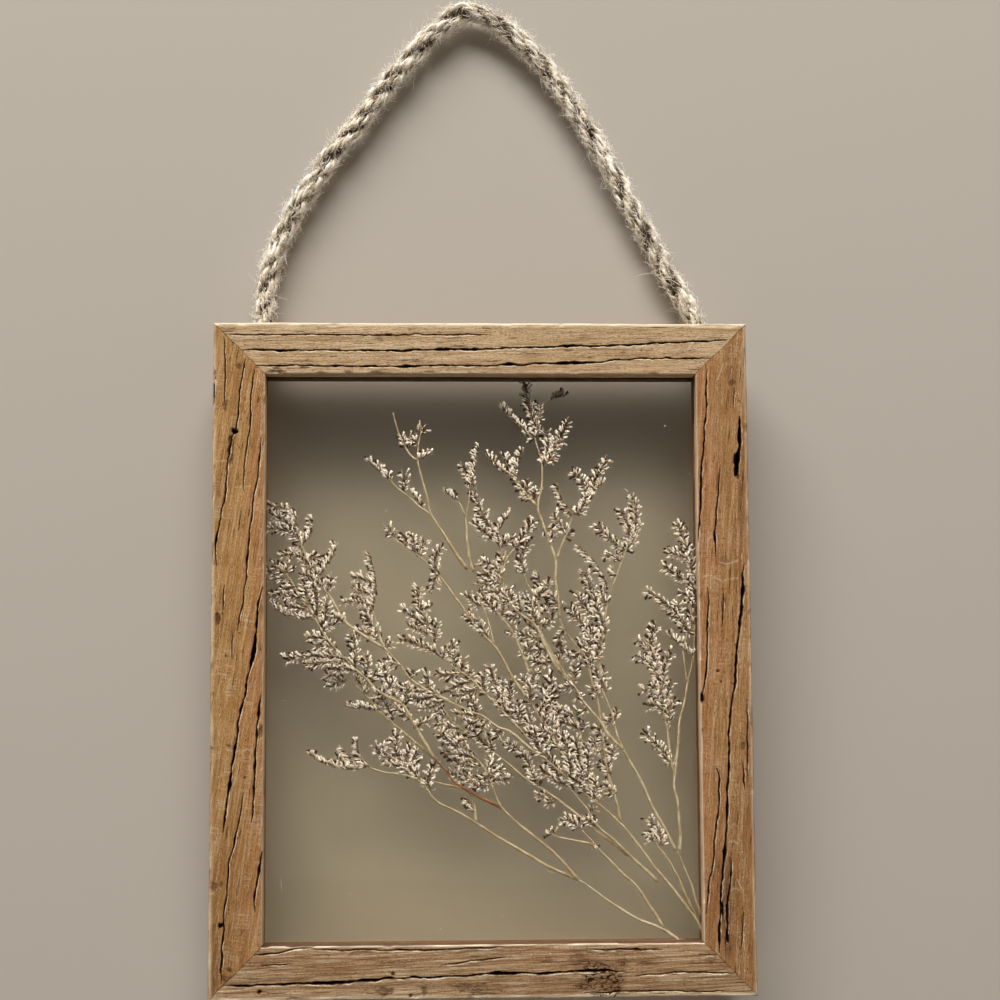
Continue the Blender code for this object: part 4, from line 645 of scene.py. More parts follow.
def smooth_line(points, step):
    """Points an even step apart on a smooth curve through the given ones."""
    points = np.asarray(points, float)
    padded = np.vstack([points[:1], points, points[-1:]])
    share = np.linspace(0, 1, 16, endpoint=False)[:, None]
    fine = []
    for before, start, end, after in zip(padded, padded[1:], padded[2:], padded[3:]):
        fine.append(start + 0.5 * share * (end - before)
                    + share ** 2 * (before - 2.5 * start + 2 * end - 0.5 * after)
                    + share ** 3 * (1.5 * (start - end) + 0.5 * (after - before)))
    fine = np.vstack(fine + [points[-1:]])
    length = walked_along(fine)[-1]
    return points_at(fine, np.linspace(0, length, max(2, round(length / step) + 1)))


def ring_faces(rings, sides, first=0, turned=False):
    """Faces of a closed tube of rings of points, with its two ends, wound either way."""
    start = first + np.arange(rings - 1)[:, None] * sides
    here = np.arange(sides)[None, :]
    after = (here + 1) % sides
    corners = [start + here, start + sides + here, start + sides + after, start + after]
    if turned:
        corners = corners[:1] + corners[:0:-1]
    ends = [[first + j for j in range(sides)],
            [first + (rings - 1) * sides + j for j in reversed(range(sides))]]
    if turned:
        ends = [end[::-1] for end in ends]
    return np.stack(corners, -1).reshape(-1, 4).tolist() + ends


class Tubes:
    """Round or flattened tubes gathered into one mesh, with attributes on their points."""

    def __init__(self):
        self.points = []
        self.faces = []
        self.marks = {"along": [], "around": [], "tone": []}
        self.count = 0

    def add(self, path, radii, sides, tone, flatness=1.0, upright=(0, 1, 0)):
        """One closed tube. Flatness is its thickness towards the upright axis, as a share.

        The tone is one number, or one for each point of the path.
        """
        path = np.asarray(path, float)
        radii = np.broadcast_to(np.asarray(radii, float), len(path))
        ahead = units(np.gradient(path, axis=0))
        across = units(np.cross(ahead, upright))
        up = np.cross(across, ahead)
        angles = np.arange(sides) * (2 * math.pi / sides)
        rings = (path[:, None] + radii[:, None, None] * (
            across[:, None] * np.cos(angles)[None, :, None]
            + up[:, None] * (flatness * np.sin(angles))[None, :, None]))
        self.faces += ring_faces(len(path), sides, self.count)
        self.points.append(rings.reshape(-1, 3))
        self.marks["along"].append(np.repeat(walked_along(path) / MM, sides))
        self.marks["around"].append(np.tile(np.arange(sides) / sides, len(path)))
        self.marks["tone"].append(np.repeat(np.broadcast_to(np.asarray(tone, float), len(path)), sides))
        self.count += len(path) * sides

    def mesh(self, name):
        """All the tubes as one mesh."""
        made = mesh_of(name, np.vstack(self.points), self.faces)
        for mark, values in self.marks.items():
            set_attribute(made, mark, np.concatenate(values))
        return made


def mesh_of(name, points, faces, edges=()):
    """A smooth mesh of numpy points."""
    mesh = bpy.data.meshes.new(name)
    mesh.from_pydata(points.tolist(), edges, faces)
    mesh.shade_smooth()
    return mesh


def solid_mesh(name, points, rings, sides, sharp_angle):
    """A closed mesh of rings of points that faces outwards, with its sharp edges kept."""
    mesh = mesh_of(name, points, ring_faces(rings, sides, turned=True))
    shape = bmesh.new()
    shape.from_mesh(mesh)
    bmesh.ops.recalc_face_normals(shape, faces=shape.faces)
    shape.to_mesh(mesh)
    shape.free()
    mesh.set_sharp_from_angle(angle=math.radians(sharp_angle))
    return mesh


def set_attribute(mesh, name, values):
    """One number for each point of a mesh, for its material to read."""
    attribute = mesh.attributes.new(name, "FLOAT", "POINT")
    attribute.data.foreach_set("value", np.asarray(values, np.float32))


def put_in_scene(name, data):
    """A new object in the scene's own collection."""
    made = bpy.data.objects.new(name, data)
    bpy.context.scene.collection.objects.link(made)
    return made


def add_piece(name, mesh, material=None, replaced=None):
    """Put a finished mesh in the scene as a piece that rides on the root body.

    The name of the solid that it stands in for is given where there is one.
    """
    piece = put_in_scene(name, mesh)
    if material:
        mesh.materials.append(material)
    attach(piece, "root")
    if replaced:
        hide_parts(replaced)
    return piece


# The wooden frame.

PROUD = 0.5  # how far the worn outer edges stand out past the solid
PROUD_REACH = 3  # how far in from the edge that has faded out
SAW_GAP = 0.12  # how far each mitre stays back from its joint
STATION_STEP = 0.5  # from one ring of points to the next along a moulding
BURR_WIDTH = 8  # a knot wider than this is a burr


def moulding_section():
    """Cross-section of a moulding, as points (in from the outer edge, back from the front).

    Each corner has the radius that wear has given it, and the step of the stretch after it. The front
    face has the finest step, because its cracks are thin.
    """
    inner = RAIL_FACE - REBATE
    corners = [
        ((0, FRAME_DEPTH), 0.5, 0.8), ((0, 0), 0.8, 0.2), ((RAIL_FACE, 0), 0.6, 0.4),
        ((RAIL_FACE, LIP), 0.3, 1.0), ((inner, LIP), 0.02, 1.4), ((inner, FRAME_DEPTH), 0.4, 1.0),
    ]
    points = []
    for i, (corner, radius, step) in enumerate(corners):
        next_corner, next_radius, _ = corners[(i + 1) % len(corners)]
        corner = np.array(corner, float)
        before = np.array(corners[i - 1][0], float) - corner
        after = np.array(next_corner, float) - corner
        after /= np.linalg.norm(after)
        start = corner + before / np.linalg.norm(before) * radius
        end = corner + after * radius
        points += [(1 - share) ** 2 * start + 2 * share * (1 - share) * corner + share ** 2 * end
                   for share in (0, 0.25, 0.5, 0.75)]
        stop = next_corner - after * next_radius
        count = max(1, round(np.linalg.norm(stop - end) / step))
        points += [end + (stop - end) * k / count for k in range(count)]
    return np.array(points)


def on_frame(name, inward, along):
    """Across and up from the frame's lower left corner, for a place on one moulding."""
    return {
        "top_rail": (along, FRAME_HEIGHT - inward), "bottom_rail": (along, inward),
        "left_stile": (inward, along), "right_stile": (FRAME_WIDTH - inward, along),
    }[name]


def crack_marks(name, across, up):
    """What the cracks do at places on the front face, in millimetres.

    It gives how deep a place is, how far it is from a crack and from the rim of one, painted pale as a
    highlight (both less than nothing inside), and how far it is lifted. The wood below a crack, or to its
    right, stands proud towards the light, and its rim is painted pale as a highlight.
    """
    upright = name.endswith("stile")
    along, sideways = (up, across) if upright else (across, -up)
    depth, lift = np.zeros_like(across), np.zeros_like(across)
    gap, rim = np.full_like(across, 2.0), np.full_like(across, 2.0)
    for number, (width, points) in enumerate(CRACKS[name]):
        line = smooth_line(points, 1.0)
        run, place = (line[:, 1], line[:, 0]) if upright else (line[:, 0], -line[:, 1])
        order = np.argsort(run)
        seed = 7 * number + len(name)
        ends = np.minimum(along - run.min(), run.max() - along)
        middle = np.interp(along, run[order], place[order]) + 0.3 * kinked(along / 5, 11 + seed)
        middle += 0.15 * kinked(along / 1.7, 12 + seed) + 0.07 * kinked(along / 0.8, 17 + seed)
        wide = np.clip(kinked(along / 6.5, 13 + seed), 0, 1) ** 1.5
        half = width / 2 * (0.56 + 0.9 * wide + 0.3 * kinked(along / 1.5, 14 + seed))
        half = np.where(ends > 0, np.maximum(half, 0.2) * np.clip(ends / 7, 0.12, 1) ** 0.6, -1.0)
        off = sideways - middle
        away = np.abs(off)
        fading = np.clip(ends / 5, 0, 1)
        deep = np.clip((half - away) / (0.4 * np.maximum(half, 0) + 0.1), 0, 1) * (0.4 + 0.6 * width)
        depth = np.maximum(depth, deep)
        gap = np.minimum(gap, away - half)
        strong = (0.6 if upright else 1.0) * fading * (0.55 + 0.6 * kinked(along / 2.3, 15 + seed))
        # The rim below or to the right of the crack is painted pale, as a highlight.
        rim = np.minimum(rim, np.abs(off - half - 0.2) - 0.3 * strong)
        proud = np.clip(0.5 + off / 0.3, 0, 1) * np.exp(-np.maximum(off, 0) / 1.8)
        sunk = np.clip(0.5 - off / 0.3, 0, 1) * np.exp(-np.maximum(-off, 0) / 1.4)
        lift += (0.22 * proud - 0.12 * sunk) * fading * (0.6 + 0.4 * kinked(along / 9, 16 + seed))
    return depth, gap, rim, lift


def knot_marks(name, across, up, seed):
    """How dark and how deep the knots and holes are at places on the front face.

    The dark of a burr is broken up into wavy lines.
    """
    dark, depth = np.zeros_like(across), np.zeros_like(across)
    for number, (x, z, width, height, tone, hollow) in enumerate(KNOTS[name]):
        wobble = soft_noise(across / (0.2 * width + 0.5), up / (0.2 * height + 0.5), seed + number)
        reach = np.hypot((across - x) / (width / 2), (up - z) / (height / 2)) * (1 + 0.42 * wobble)
        inside = np.clip((1.25 - reach) / 0.5, 0, 1)
        if width > BURR_WIDTH:
            bent = up / 0.8 + 0.6 * soft_noise(across / 2, up / 2, seed + 71)
            burr = np.clip(1.3 - np.abs(soft_noise(across / 1.1, bent, seed + 70)) / 0.22, 0, 1)
            inside = inside * (0.4 + 0.9 * burr)
        dark = np.maximum(dark, inside * tone)
        depth = np.maximum(depth, inside * hollow)
    return np.clip(dark, 0, 1), depth


def scratch_marks(name, across, up):
    """How pale the fine scratches are at places on the front face."""
    pale = np.zeros_like(across)
    for points in WOOD_SCRATCHES[name]:
        line = np.array(points, float)
        for start, end in zip(line, line[1:]):
            ahead = end - start
            share = ((across - start[0]) * ahead[0] + (up - start[1]) * ahead[1]) / (ahead @ ahead)
            share = np.clip(share, 0, 1)
            away = np.hypot(across - start[0] - ahead[0] * share, up - start[1] - ahead[1] * share)
            pale = np.maximum(pale, 0.32 * np.clip(1.4 - away / 0.2, 0, 1))
    return pale


def grain_ridges(place, along, seed):
    """How far weather has left the grain standing up, and how much of that is its finest lines."""
    lined = 1.5 * np.abs(soft_noise(place / 0.6, along / 14, seed + 1)) - 0.6
    lined += 0.6 * soft_noise(place / 0.42, along / 8, seed + 6)
    return 1.6 * np.abs(soft_noise(place / 1.3, along / 30, seed)) - 0.6 + 0.6 * lined, lined


def edge_wear_and_highlight(name, inward, back, place, along, seed):
    """How pale the edges of the front are: wear, and painted highlight where an edge faces the light above.
    """
    worn_out = np.clip(1.2 - np.abs(inward) - np.abs(back), 0, 1)
    worn_in = np.clip(0.7 - np.abs(inward - RAIL_FACE) - np.abs(back), 0, 0.7)
    # The bottom rail's inner edge faces the light above: three times as pale, as a painted highlight.
    worn_in *= 3.0 if name == "bottom_rail" else 1.0
    wear = np.maximum(worn_out, worn_in) * (0.8 + 0.5 * soft_noise(place / 2, along / 7, seed))
    wear = wear * EDGE_WEAR_AND_HIGHLIGHT[name]
    # The top rail's upper edge is painted pale as a highlight.
    if name == "top_rail":
        wear = np.maximum(wear, 1.4 * np.clip(1.3 - np.abs(inward + PROUD) - 0.6 * back, 0, 1))
    return np.clip(wear, 0, 1)


def make_moulding(name, material, settings, seed):
    """One mitred side of the frame, with cracks, knots, ridges along the grain, and worn edges with a
    painted highlight.
    """
    section = moulding_section()
    section_in, section_back = section.T
    length = FRAME_WIDTH if name.endswith("rail") else FRAME_HEIGHT
    stations = np.linspace(0, 1, round(length / STATION_STEP) + 1)[:, None]
    back = section_back + 0 * stations
    inward = section_in + 0 * stations
    inward = inward - PROUD * (section_in < PROUD_REACH) * (1 - section_in / PROUD_REACH)
    # The two mouldings of a corner are cut along the same slightly uneven line.
    low_cut = SAW_GAP + joint_wander(name, 0, inward)
    high_cut = SAW_GAP + joint_wander(name, 1, inward)
    along = inward + low_cut + (length - 2 * inward - low_cut - high_cut) * stations

    ahead = units(np.roll(section, -1, axis=0) - np.roll(section, 1, axis=0))
    outward_in, outward_back = ahead[:, 1], -ahead[:, 0]
    facing_front = np.clip(-outward_back, 0, 1)
    round_section = walked_along(section)
    place = round_section - GRAIN_DRIFT[name] * along
    hidden = (section_in < RAIL_FACE - 0.1) & (section_back > LIP - 0.1) & (section_in > 0.6)

    weathered, lined = grain_ridges(place, along, seed)
    relief = settings.ridge_height / MM * WOOD_LOOKS[name][0] * weathered
    relief += 0.14 * soft_noise(round_section / 6, along / 24, seed + 2)
    near_edge = np.minimum(np.abs(inward), np.abs(inward - RAIL_FACE)) + np.abs(back)
    chips = np.clip(soft_noise(place / 3, along / 5, seed + 3) - 0.3, 0, 1) * 1.2
    relief -= chips * np.clip(1.3 - near_edge, 0, 1)
    relief = np.where(hidden, np.minimum(relief, 0), relief)
    across, up = on_frame(name, inward, along)
    deep, gap, rim, lift = crack_marks(name, across, up)
    knot, hollow = knot_marks(name, across, up, seed + 5)
    # Dark deep knots and holes take the painted shade of a crack.
    gap = np.minimum(gap, 0.3 - 1.2 * hollow * (knot > 0.8))
    relief += lift * facing_front
    moved_in = inward + outward_in * relief
    moved_back = back + outward_back * relief
    moved_back += (deep * settings.crack_depth / MM + hollow) * facing_front
    across, up = on_frame(name, moved_in, along)

    points = np.stack([FRAME_LEFT + across, FRAME_FRONT + moved_back, FRAME_BOTTOM + up], axis=-1)
    mesh = solid_mesh(name + "_wood", points.reshape(-1, 3) * MM, *along.shape, sharp_angle=55)
    # The face towards the glass, which the pine paints pale as a highlight, or dark as shade on the bottom
    # rail; off the bottom rail it fades into the rebate.
    lip_fades = 0.0 if name == "bottom_rail" else 0.75
    lip = np.clip((outward_in > 0.5) * (back < LIP), 0, 1) * (1 - lip_fades * np.clip(back / LIP, 0, 1))
    marks = {
        "gap": np.where(facing_front > 0.3, gap, 1.0), "rim": np.where(facing_front > 0.3, rim, 1.0),
        "scratch": scratch_marks(name, across, up) * facing_front, "knot": knot * facing_front,
        "wear": edge_wear_and_highlight(name, inward, back, place, along, seed + 4), "lip": lip,
        "inward": inward / RAIL_FACE, "ridge": np.clip(0.5 + 0.5 * lined + 0.15 * weathered, 0, 1),
    }
    for mark, values in marks.items():
        set_attribute(mesh, mark, values.ravel())
    add_piece(name + "_wood", mesh, material, replaced=name)


def joint_wander(name, end, inward):
    """How far a mitre strays along a moulding, to or from the moulding that it meets there.

    The two mouldings of a corner have the same seed at their ends.
    """
    seeds = {"top_rail": (1, 2), "bottom_rail": (3, 4), "left_stile": (3, 1), "right_stile": (4, 2)}
    to_rail = 1 if name.endswith("rail") else -1
    return to_rail * 0.35 * kinked(np.maximum(inward, 0) / 3.1, 60 + seeds[name][end])


def weathered_pine(name, pale, brown, settings, lean, shift, looks=(1.0, 0.0, 0.1, 0.3)):
    """Old softwood left outdoors and waxed: matt, with raised grain, dark fissures and dust in them.

    The grain runs in the direction that leans from upright by the given angle, towards the right. The
    looks are a row of WOOD_LOOKS.
    """
    material, node = new_material(name)
    ridges, redder, sawn, lip_painted_light = looks
    place = node("TexCoord").outputs["Object"]
    turned = node("Mapping", {"Vector": place, "Rotation": (0, -lean, 0)})
    broad, band, fine, fibre, spot, fissure, blotch, saw_line, saw_patch, grit, splinter = (
        stretched_noise(node, turned, *sizes, shift + more) for *sizes, more in (
            (4, 70, 3, 0.5, 0), (1.1, 40, 4, 0.6, 3), (0.35, 9, 4, 0.7, 5), (0.3, 1.8, 3, 0.7, 7),
            (0.7, 1.2, 2, 0.5, 11), (0.8, 13, 4, 0.6, 9), (5, 9, 4, 0.6, 13), (6, 0.42, 2, 0.5, 17),
            (5, 16, 2, 0.5, 19), (0.3, 0.8, 2, 0.6, 21), (0.3, 0.5, 3, 0.7, 23)))
    gap, rim, scratch, knot, wear, lip, inward, ridge = (
        node("Attribute", attribute_name=mark).outputs["Fac"]
        for mark in ("gap", "rim", "scratch", "knot", "wear", "lip", "inward", "ridge"))

    # Saw marks are about a millimetre apart and show in patches.
    saw = node("Math", (node("MapRange", (saw_line, 0.46, 0.62), **SMOOTH),
                        node("MapRange", (saw_patch, 0.48, 0.62), **SMOOTH)), operation="MULTIPLY")
    # The sides of cracks and of their rims are broken up by splinters.
    jag = node("MapRange", (splinter, 0.25, 0.75, -0.14, 0.14), **SMOOTH)
    gap = node("Math", (gap, jag), operation="ADD")
    rim = node("Math", (rim, jag), operation="ADD")
    uneven = node("MapRange", (broad, 0.3, 0.7, -0.22, 0.22), **SMOOTH)
    by_window = node("Math", (inward, uneven), operation="ADD")
    low = node("SeparateXYZ", (place,)).outputs["Z"]
    lip = node("Math", (lip, abs(lip_painted_light)), operation="MULTIPLY")
    bare = node("MapRange", (fine, 0.3, 0.6, 0.35, 0.9), **SMOOTH)
    wear = node("Math", (wear, bare), operation="MULTIPLY")
    mottled = node("MapRange", (fibre, 0.4, 0.6, 0.7, 1.2), **SMOOTH)
    knot = node("Math", (knot, mottled), operation="MULTIPLY")
    streak_and_shade, worn_and_highlight, dark = settings.streak_and_shade, settings.worn_and_highlight, settings.knot
    colour = layered(
        node, pale,
        (broad, 0.3, 0.7, 0.05, 0.75, brown), (band, 0.42, 0.75, 0, 0.3, brown),
        (by_window, 0.45, 0.8, 0, redder, settings.reddish),
        # Dirt: towards the foot of the frame, in blotches, and along the grain.
        (low, -0.25, -0.37, 0, 0.22, streak_and_shade), (blotch, 0.5, 0.72, 0, 0.25, streak_and_shade),
        (fine, 0.54, 0.63, 0, 0.22 + 0.175 * ridges, streak_and_shade), (fibre, 0.53, 0.63, 0, 0.45, streak_and_shade),
        (grit, 0.55, 0.68, 0, 0.75, streak_and_shade),
        # Bare, dusty wood between it.
        (grit, 0.43, 0.32, 0, 0.14, worn_and_highlight), (fibre, 0.4, 0.31, 0, 0.07, worn_and_highlight),
        (band, 0.42, 0.25, 0, 0.15, worn_and_highlight),
        # Furrows and crests of the raised grain, then the marks of the saw.
        (ridge, 0.33, 0.2, 0, 0.05 + 0.325 * ridges, streak_and_shade), (ridge, 0.68, 0.86, 0, 0.125 * ridges, worn_and_highlight),
        (saw, 0.2, 1.0, 0, sawn, worn_and_highlight),
        (fissure, 0.63, 0.68, 0, 0.75, dark), (spot, 0.68, 0.73, 0, 0.85, dark),
        # The face towards the glass, painted pale as a highlight or dark as shade; the edges' wear and
        # painted highlight; the knots.
        (lip, worn_and_highlight if lip_painted_light > 0 else dark), (wear, worn_and_highlight), (knot, dark),
        # A painted highlight along the rim of each crack, then the scratches.
        (rim, 0.06, -0.08, 0, 0.85, worn_and_highlight), (scratch, worn_and_highlight),
        # Into a crack, painted shade: its darker border, its side, its depth.
        (gap, 0.3, 0.0, 0, 0.6, streak_and_shade), (gap, 0.05, -0.05, settings.crack_side),
        (gap, -0.08, -0.22, settings.crack))

    height = fine
    for part, operation in (
            (node("MapRange", (fissure, 0.62, 0.72, 0, 0.9), **SMOOTH), "SUBTRACT"),
            (node("Math", (fibre, 0.7), operation="MULTIPLY"), "ADD"),
            (node("MapRange", (spot, 0.68, 0.76, 0, 0.8), **SMOOTH), "SUBTRACT"),
            (node("Math", (saw, sawn), operation="MULTIPLY"), "ADD"),
            (node("Math", (grit, 0.5), operation="MULTIPLY"), "ADD")):
        height = node("Math", (height, part), operation=operation)
    bump = node("Bump", {"Height": height, "Strength": 0.9, "Distance": 0.3 * MM})
    shader = node("BsdfPrincipled", {
        "Base Color": colour, "Roughness": node("MapRange", (fine, 0.3, 0.7, 0.62, 0.85), **SMOOTH),
        "Specular IOR Level": 0.35, "Normal": bump})
    node("OutputMaterial", (shader,))
    return material


def worn_bar(name, low, high, edge, seed):
    """A planed strip of wood between two corners, with softened edges and a slight wave."""
    middle = (np.array(low) + np.array(high)) / 2
    half = (np.array(high) - np.array(low)) / 2
    long_axis = int(np.argmax(half))
    one, two = [axis for axis in range(3) if axis != long_axis]
    section = []
    for one_side, two_side in ((1, 1), (-1, 1), (-1, -1), (1, -1)):
        for share in (0, 0.33, 0.67, 1):
            turn = math.pi / 2 * (share if one_side * two_side > 0 else 1 - share)
            section.append((one_side * (half[one] - edge + edge * math.cos(turn)),
                            two_side * (half[two] - edge + edge * math.sin(turn))))
    rings = max(2, round(2 * half[long_axis] / 1.5)) + 1
    points = np.zeros((rings, len(section), 3))
    points[:, :, [one, two]] = section
    points[:, :, long_axis] = np.linspace(-half[long_axis], half[long_axis], rings)[:, None]
    wave = soft_noise(points[:, :, long_axis] / (8 * MM), np.arange(len(section))[None] / 3, seed)
    points[:, :, [one, two]] *= (0.98 + 0.02 * wave)[:, :, None]
    mesh = solid_mesh(name, points.reshape(-1, 3) + middle, rings, len(section), sharp_angle=40)
    # The wood reads these marks; here there is no crack, rim or ridge.
    for mark, value in (("gap", 1.0), ("rim", 1.0), ("ridge", 0.5)):
        set_attribute(mesh, mark, np.full(len(mesh.vertices), value))
    return mesh


# The glass.

def window_glass(settings):
    """Old drawn window glass: clear, slightly warm in its thickness, a little wavy.

    Light from the lamps passes through it, so the sprigs and the wall behind it are lit.
    """
    material, node = new_material("drawn_window_glass")
    wave = stretched_noise(node, node("TexCoord").outputs["Object"], 45, 90, 1.0)
    bump = node("Bump", {"Height": wave, "Strength": 0.2, "Distance": 0.3 * MM})
    clear = node("BsdfPrincipled", {
        "Base Color": (1, 1, 1), "Roughness": 0.02, "IOR": 1.5, "Transmission Weight": 1.0,
        "Normal": bump})
    let_through = node("BsdfTransparent", (settings.lets_through,))
    to_lamp = node("LightPath").outputs["Is Shadow Ray"]
    tinted = node("VolumeAbsorption", {"Color": settings.tint, "Density": settings.absorption})
    node("OutputMaterial", (node("MixShader", (to_lamp, clear, let_through)), tinted))
    return material


# Specks on the front pane, as (across, up from the window's lower left corner, size).
SPECKS = [
    (22, 183, 0.5), (12.5, 178.5, 0.5), (45, 161, 0.7), (151, 193.5, 0.7), (153, 192, 0.5), (160, 175, 0.5),
    (130.5, 177.5, 0.5), (132, 182.5, 0.4), (31.5, 18, 0.5), (88, 9.5, 0.6), (65, 5, 0.5),
]
# Scratches on the front pane, as (start across, start up, end across, end up).
SCRATCHES = [(5.5, 89.5, 8, 89.8), (6, 24, 6.3, 19.5), (104.5, 26, 107.5, 25)]


def make_specks(material):
    """Thin dried specks and scratches that stand on the front pane."""
    specks = Tubes()
    draw = random.Random(5)
    surface = PANE_FRONT - 0.03
    for across, up, size in SPECKS:
        middle = np.array([WINDOW_LEFT + across, surface, WINDOW_BOTTOM + up])
        turn = draw.uniform(0, math.pi)
        ahead = np.array([math.cos(turn), 0, math.sin(turn)]) * size / 2
        path = np.array([middle + ahead * k for k in (-1, -0.5, 0, 0.5, 1)]) * MM
        specks.add(path, np.array([0.25, 0.9, 1, 0.8, 0.2]) * size * 0.4 * MM, 8, draw.random(), 0.12)
    for x0, z0, x1, z1 in SCRATCHES:
        start = np.array([WINDOW_LEFT + x0, surface, WINDOW_BOTTOM + z0])
        end = np.array([WINDOW_LEFT + x1, surface, WINDOW_BOTTOM + z1])
        path = np.array([start + (end - start) * k for k in (0, 0.3, 0.7, 1)]) * MM
        specks.add(path, np.array([0.04, 0.09, 0.08, 0.03]) * MM, 6, draw.random(), 0.3)
    add_piece("glass_specks", specks.mesh("glass_specks"), material)


def dried_speck(settings):
    """Splashes of dried paint and dust on the pane: pale and matt."""
    material, node = new_material("dried_speck")
    tone = node("Attribute", attribute_name="tone").outputs["Fac"]
    colour = layered(node, settings.speck, (tone, 0, 1, 0, 0.35, linear("#8C7F6A")))
    node("OutputMaterial", (node("BsdfPrincipled", {"Base Color": colour, "Roughness": 0.85}),))
    return material


# The pressed sprays.

def dried_stem(name, pale, dark):
    """Dried sea lavender stem: straw coloured, ribbed lengthwise, browner in blotches."""
    material, node = new_material(name)
    place = node("TexCoord").outputs["Object"]
    tone = node("Attribute", attribute_name="tone").outputs["Fac"]
    blotch = node("TexNoise", {"Vector": place, "Scale": 1 / (3 * MM), "Detail": 4.0})
    fine = node("TexNoise", {"Vector": place, "Scale": 1 / (0.35 * MM), "Detail": 3.0})
    colour = layered(node, pale, (blotch, 0.4, 0.65, 0, 0.8, dark), (tone, 0, 1, 0, 0.3, dark),
                     (fine, 0.45, 0.7, 0, 0.55, linear("#4E3620")))
    bump = node("Bump", {"Height": fine, "Strength": 0.4, "Distance": 0.05 * MM})
    shader = node("BsdfPrincipled", {"Base Color": colour, "Roughness": 0.72, "Normal": bump})
    node("OutputMaterial", (shader,))
    return material


def papery_calyx(settings):
    """Dried calyx: a dry brown base, then a papery white rim that lets a little light through.

    Some calyces are browned and a few are greyish. The scales behind them are dark all over: dry bracts, and
    a dark layer that stands in for the shade between the calyces.
    """
    material, node = new_material("papery_calyx")
    place = node("TexCoord").outputs["Object"]
    height, tint, behind = (node("Attribute", attribute_name=mark).outputs["Fac"]
                            for mark in ("height", "tint", "behind"))
    fine = node("TexNoise", {"Vector": place, "Scale": 1 / (0.5 * MM), "Detail": 3.0})
    uneven = node("MapRange", (fine, 0.2, 0.8, -0.12, 0.12), **SMOOTH)
    ragged = node("Math", (height, uneven), operation="ADD")
    scale = layered(node, settings.bract_and_shade, (fine, settings.calyx_base))
    colour = layered(node, settings.calyx_base, (ragged, 0.25, 0.6, settings.petal),
                     (tint, 0.55, 1.0, 0, 0.7, linear("#A88A69")),
                     (tint, 0.08, 0.05, 0, 0.7, linear("#6C6672")), (behind, scale))
    shader = node("BsdfPrincipled", {"Base Color": colour, "Roughness": 0.8})
    glow = node("BsdfTranslucent", (colour,))
    node("OutputMaterial", (node("MixShader", (0.15, shader, glow)),))
    return material


def make_calyx():
    """One dried calyx of unit length along Z: a narrow base, a ribbed tube and a flared, lobed rim."""
    sides = 6
    profile = [(0.0, 0.04), (0.28, 0.07), (0.72, 0.09), (0.95, 0.125)]
    rim = len(profile) - 1
    points = []
    for level, (height, radius) in enumerate(profile):
        for j in range(sides):
            lobe = (-0.09 if j % 2 else 0.05) if level == rim else 0
            rib = 1.0 if j % 2 else 1.12
            turn = 2 * math.pi * j / sides
            points.append((radius * rib * math.cos(turn), radius * rib * math.sin(turn), height + lobe))
    faces = []
    for level in range(rim):
        for j in range(sides):
            here, after = level * sides + j, level * sides + (j + 1) % sides
            faces.append((here, after, after + sides, here + sides))
    throat = len(points)
    points.append((0, 0, 0.62))
    faces += [(rim * sides + j, rim * sides + (j + 1) % sides, throat) for j in range(sides)]
    faces.append(tuple(reversed(range(sides))))
    mesh = mesh_of("calyx", np.array(points), faces)
    set_attribute(mesh, "height", [point[2] for point in points])
    return put_in_scene("calyx", mesh)


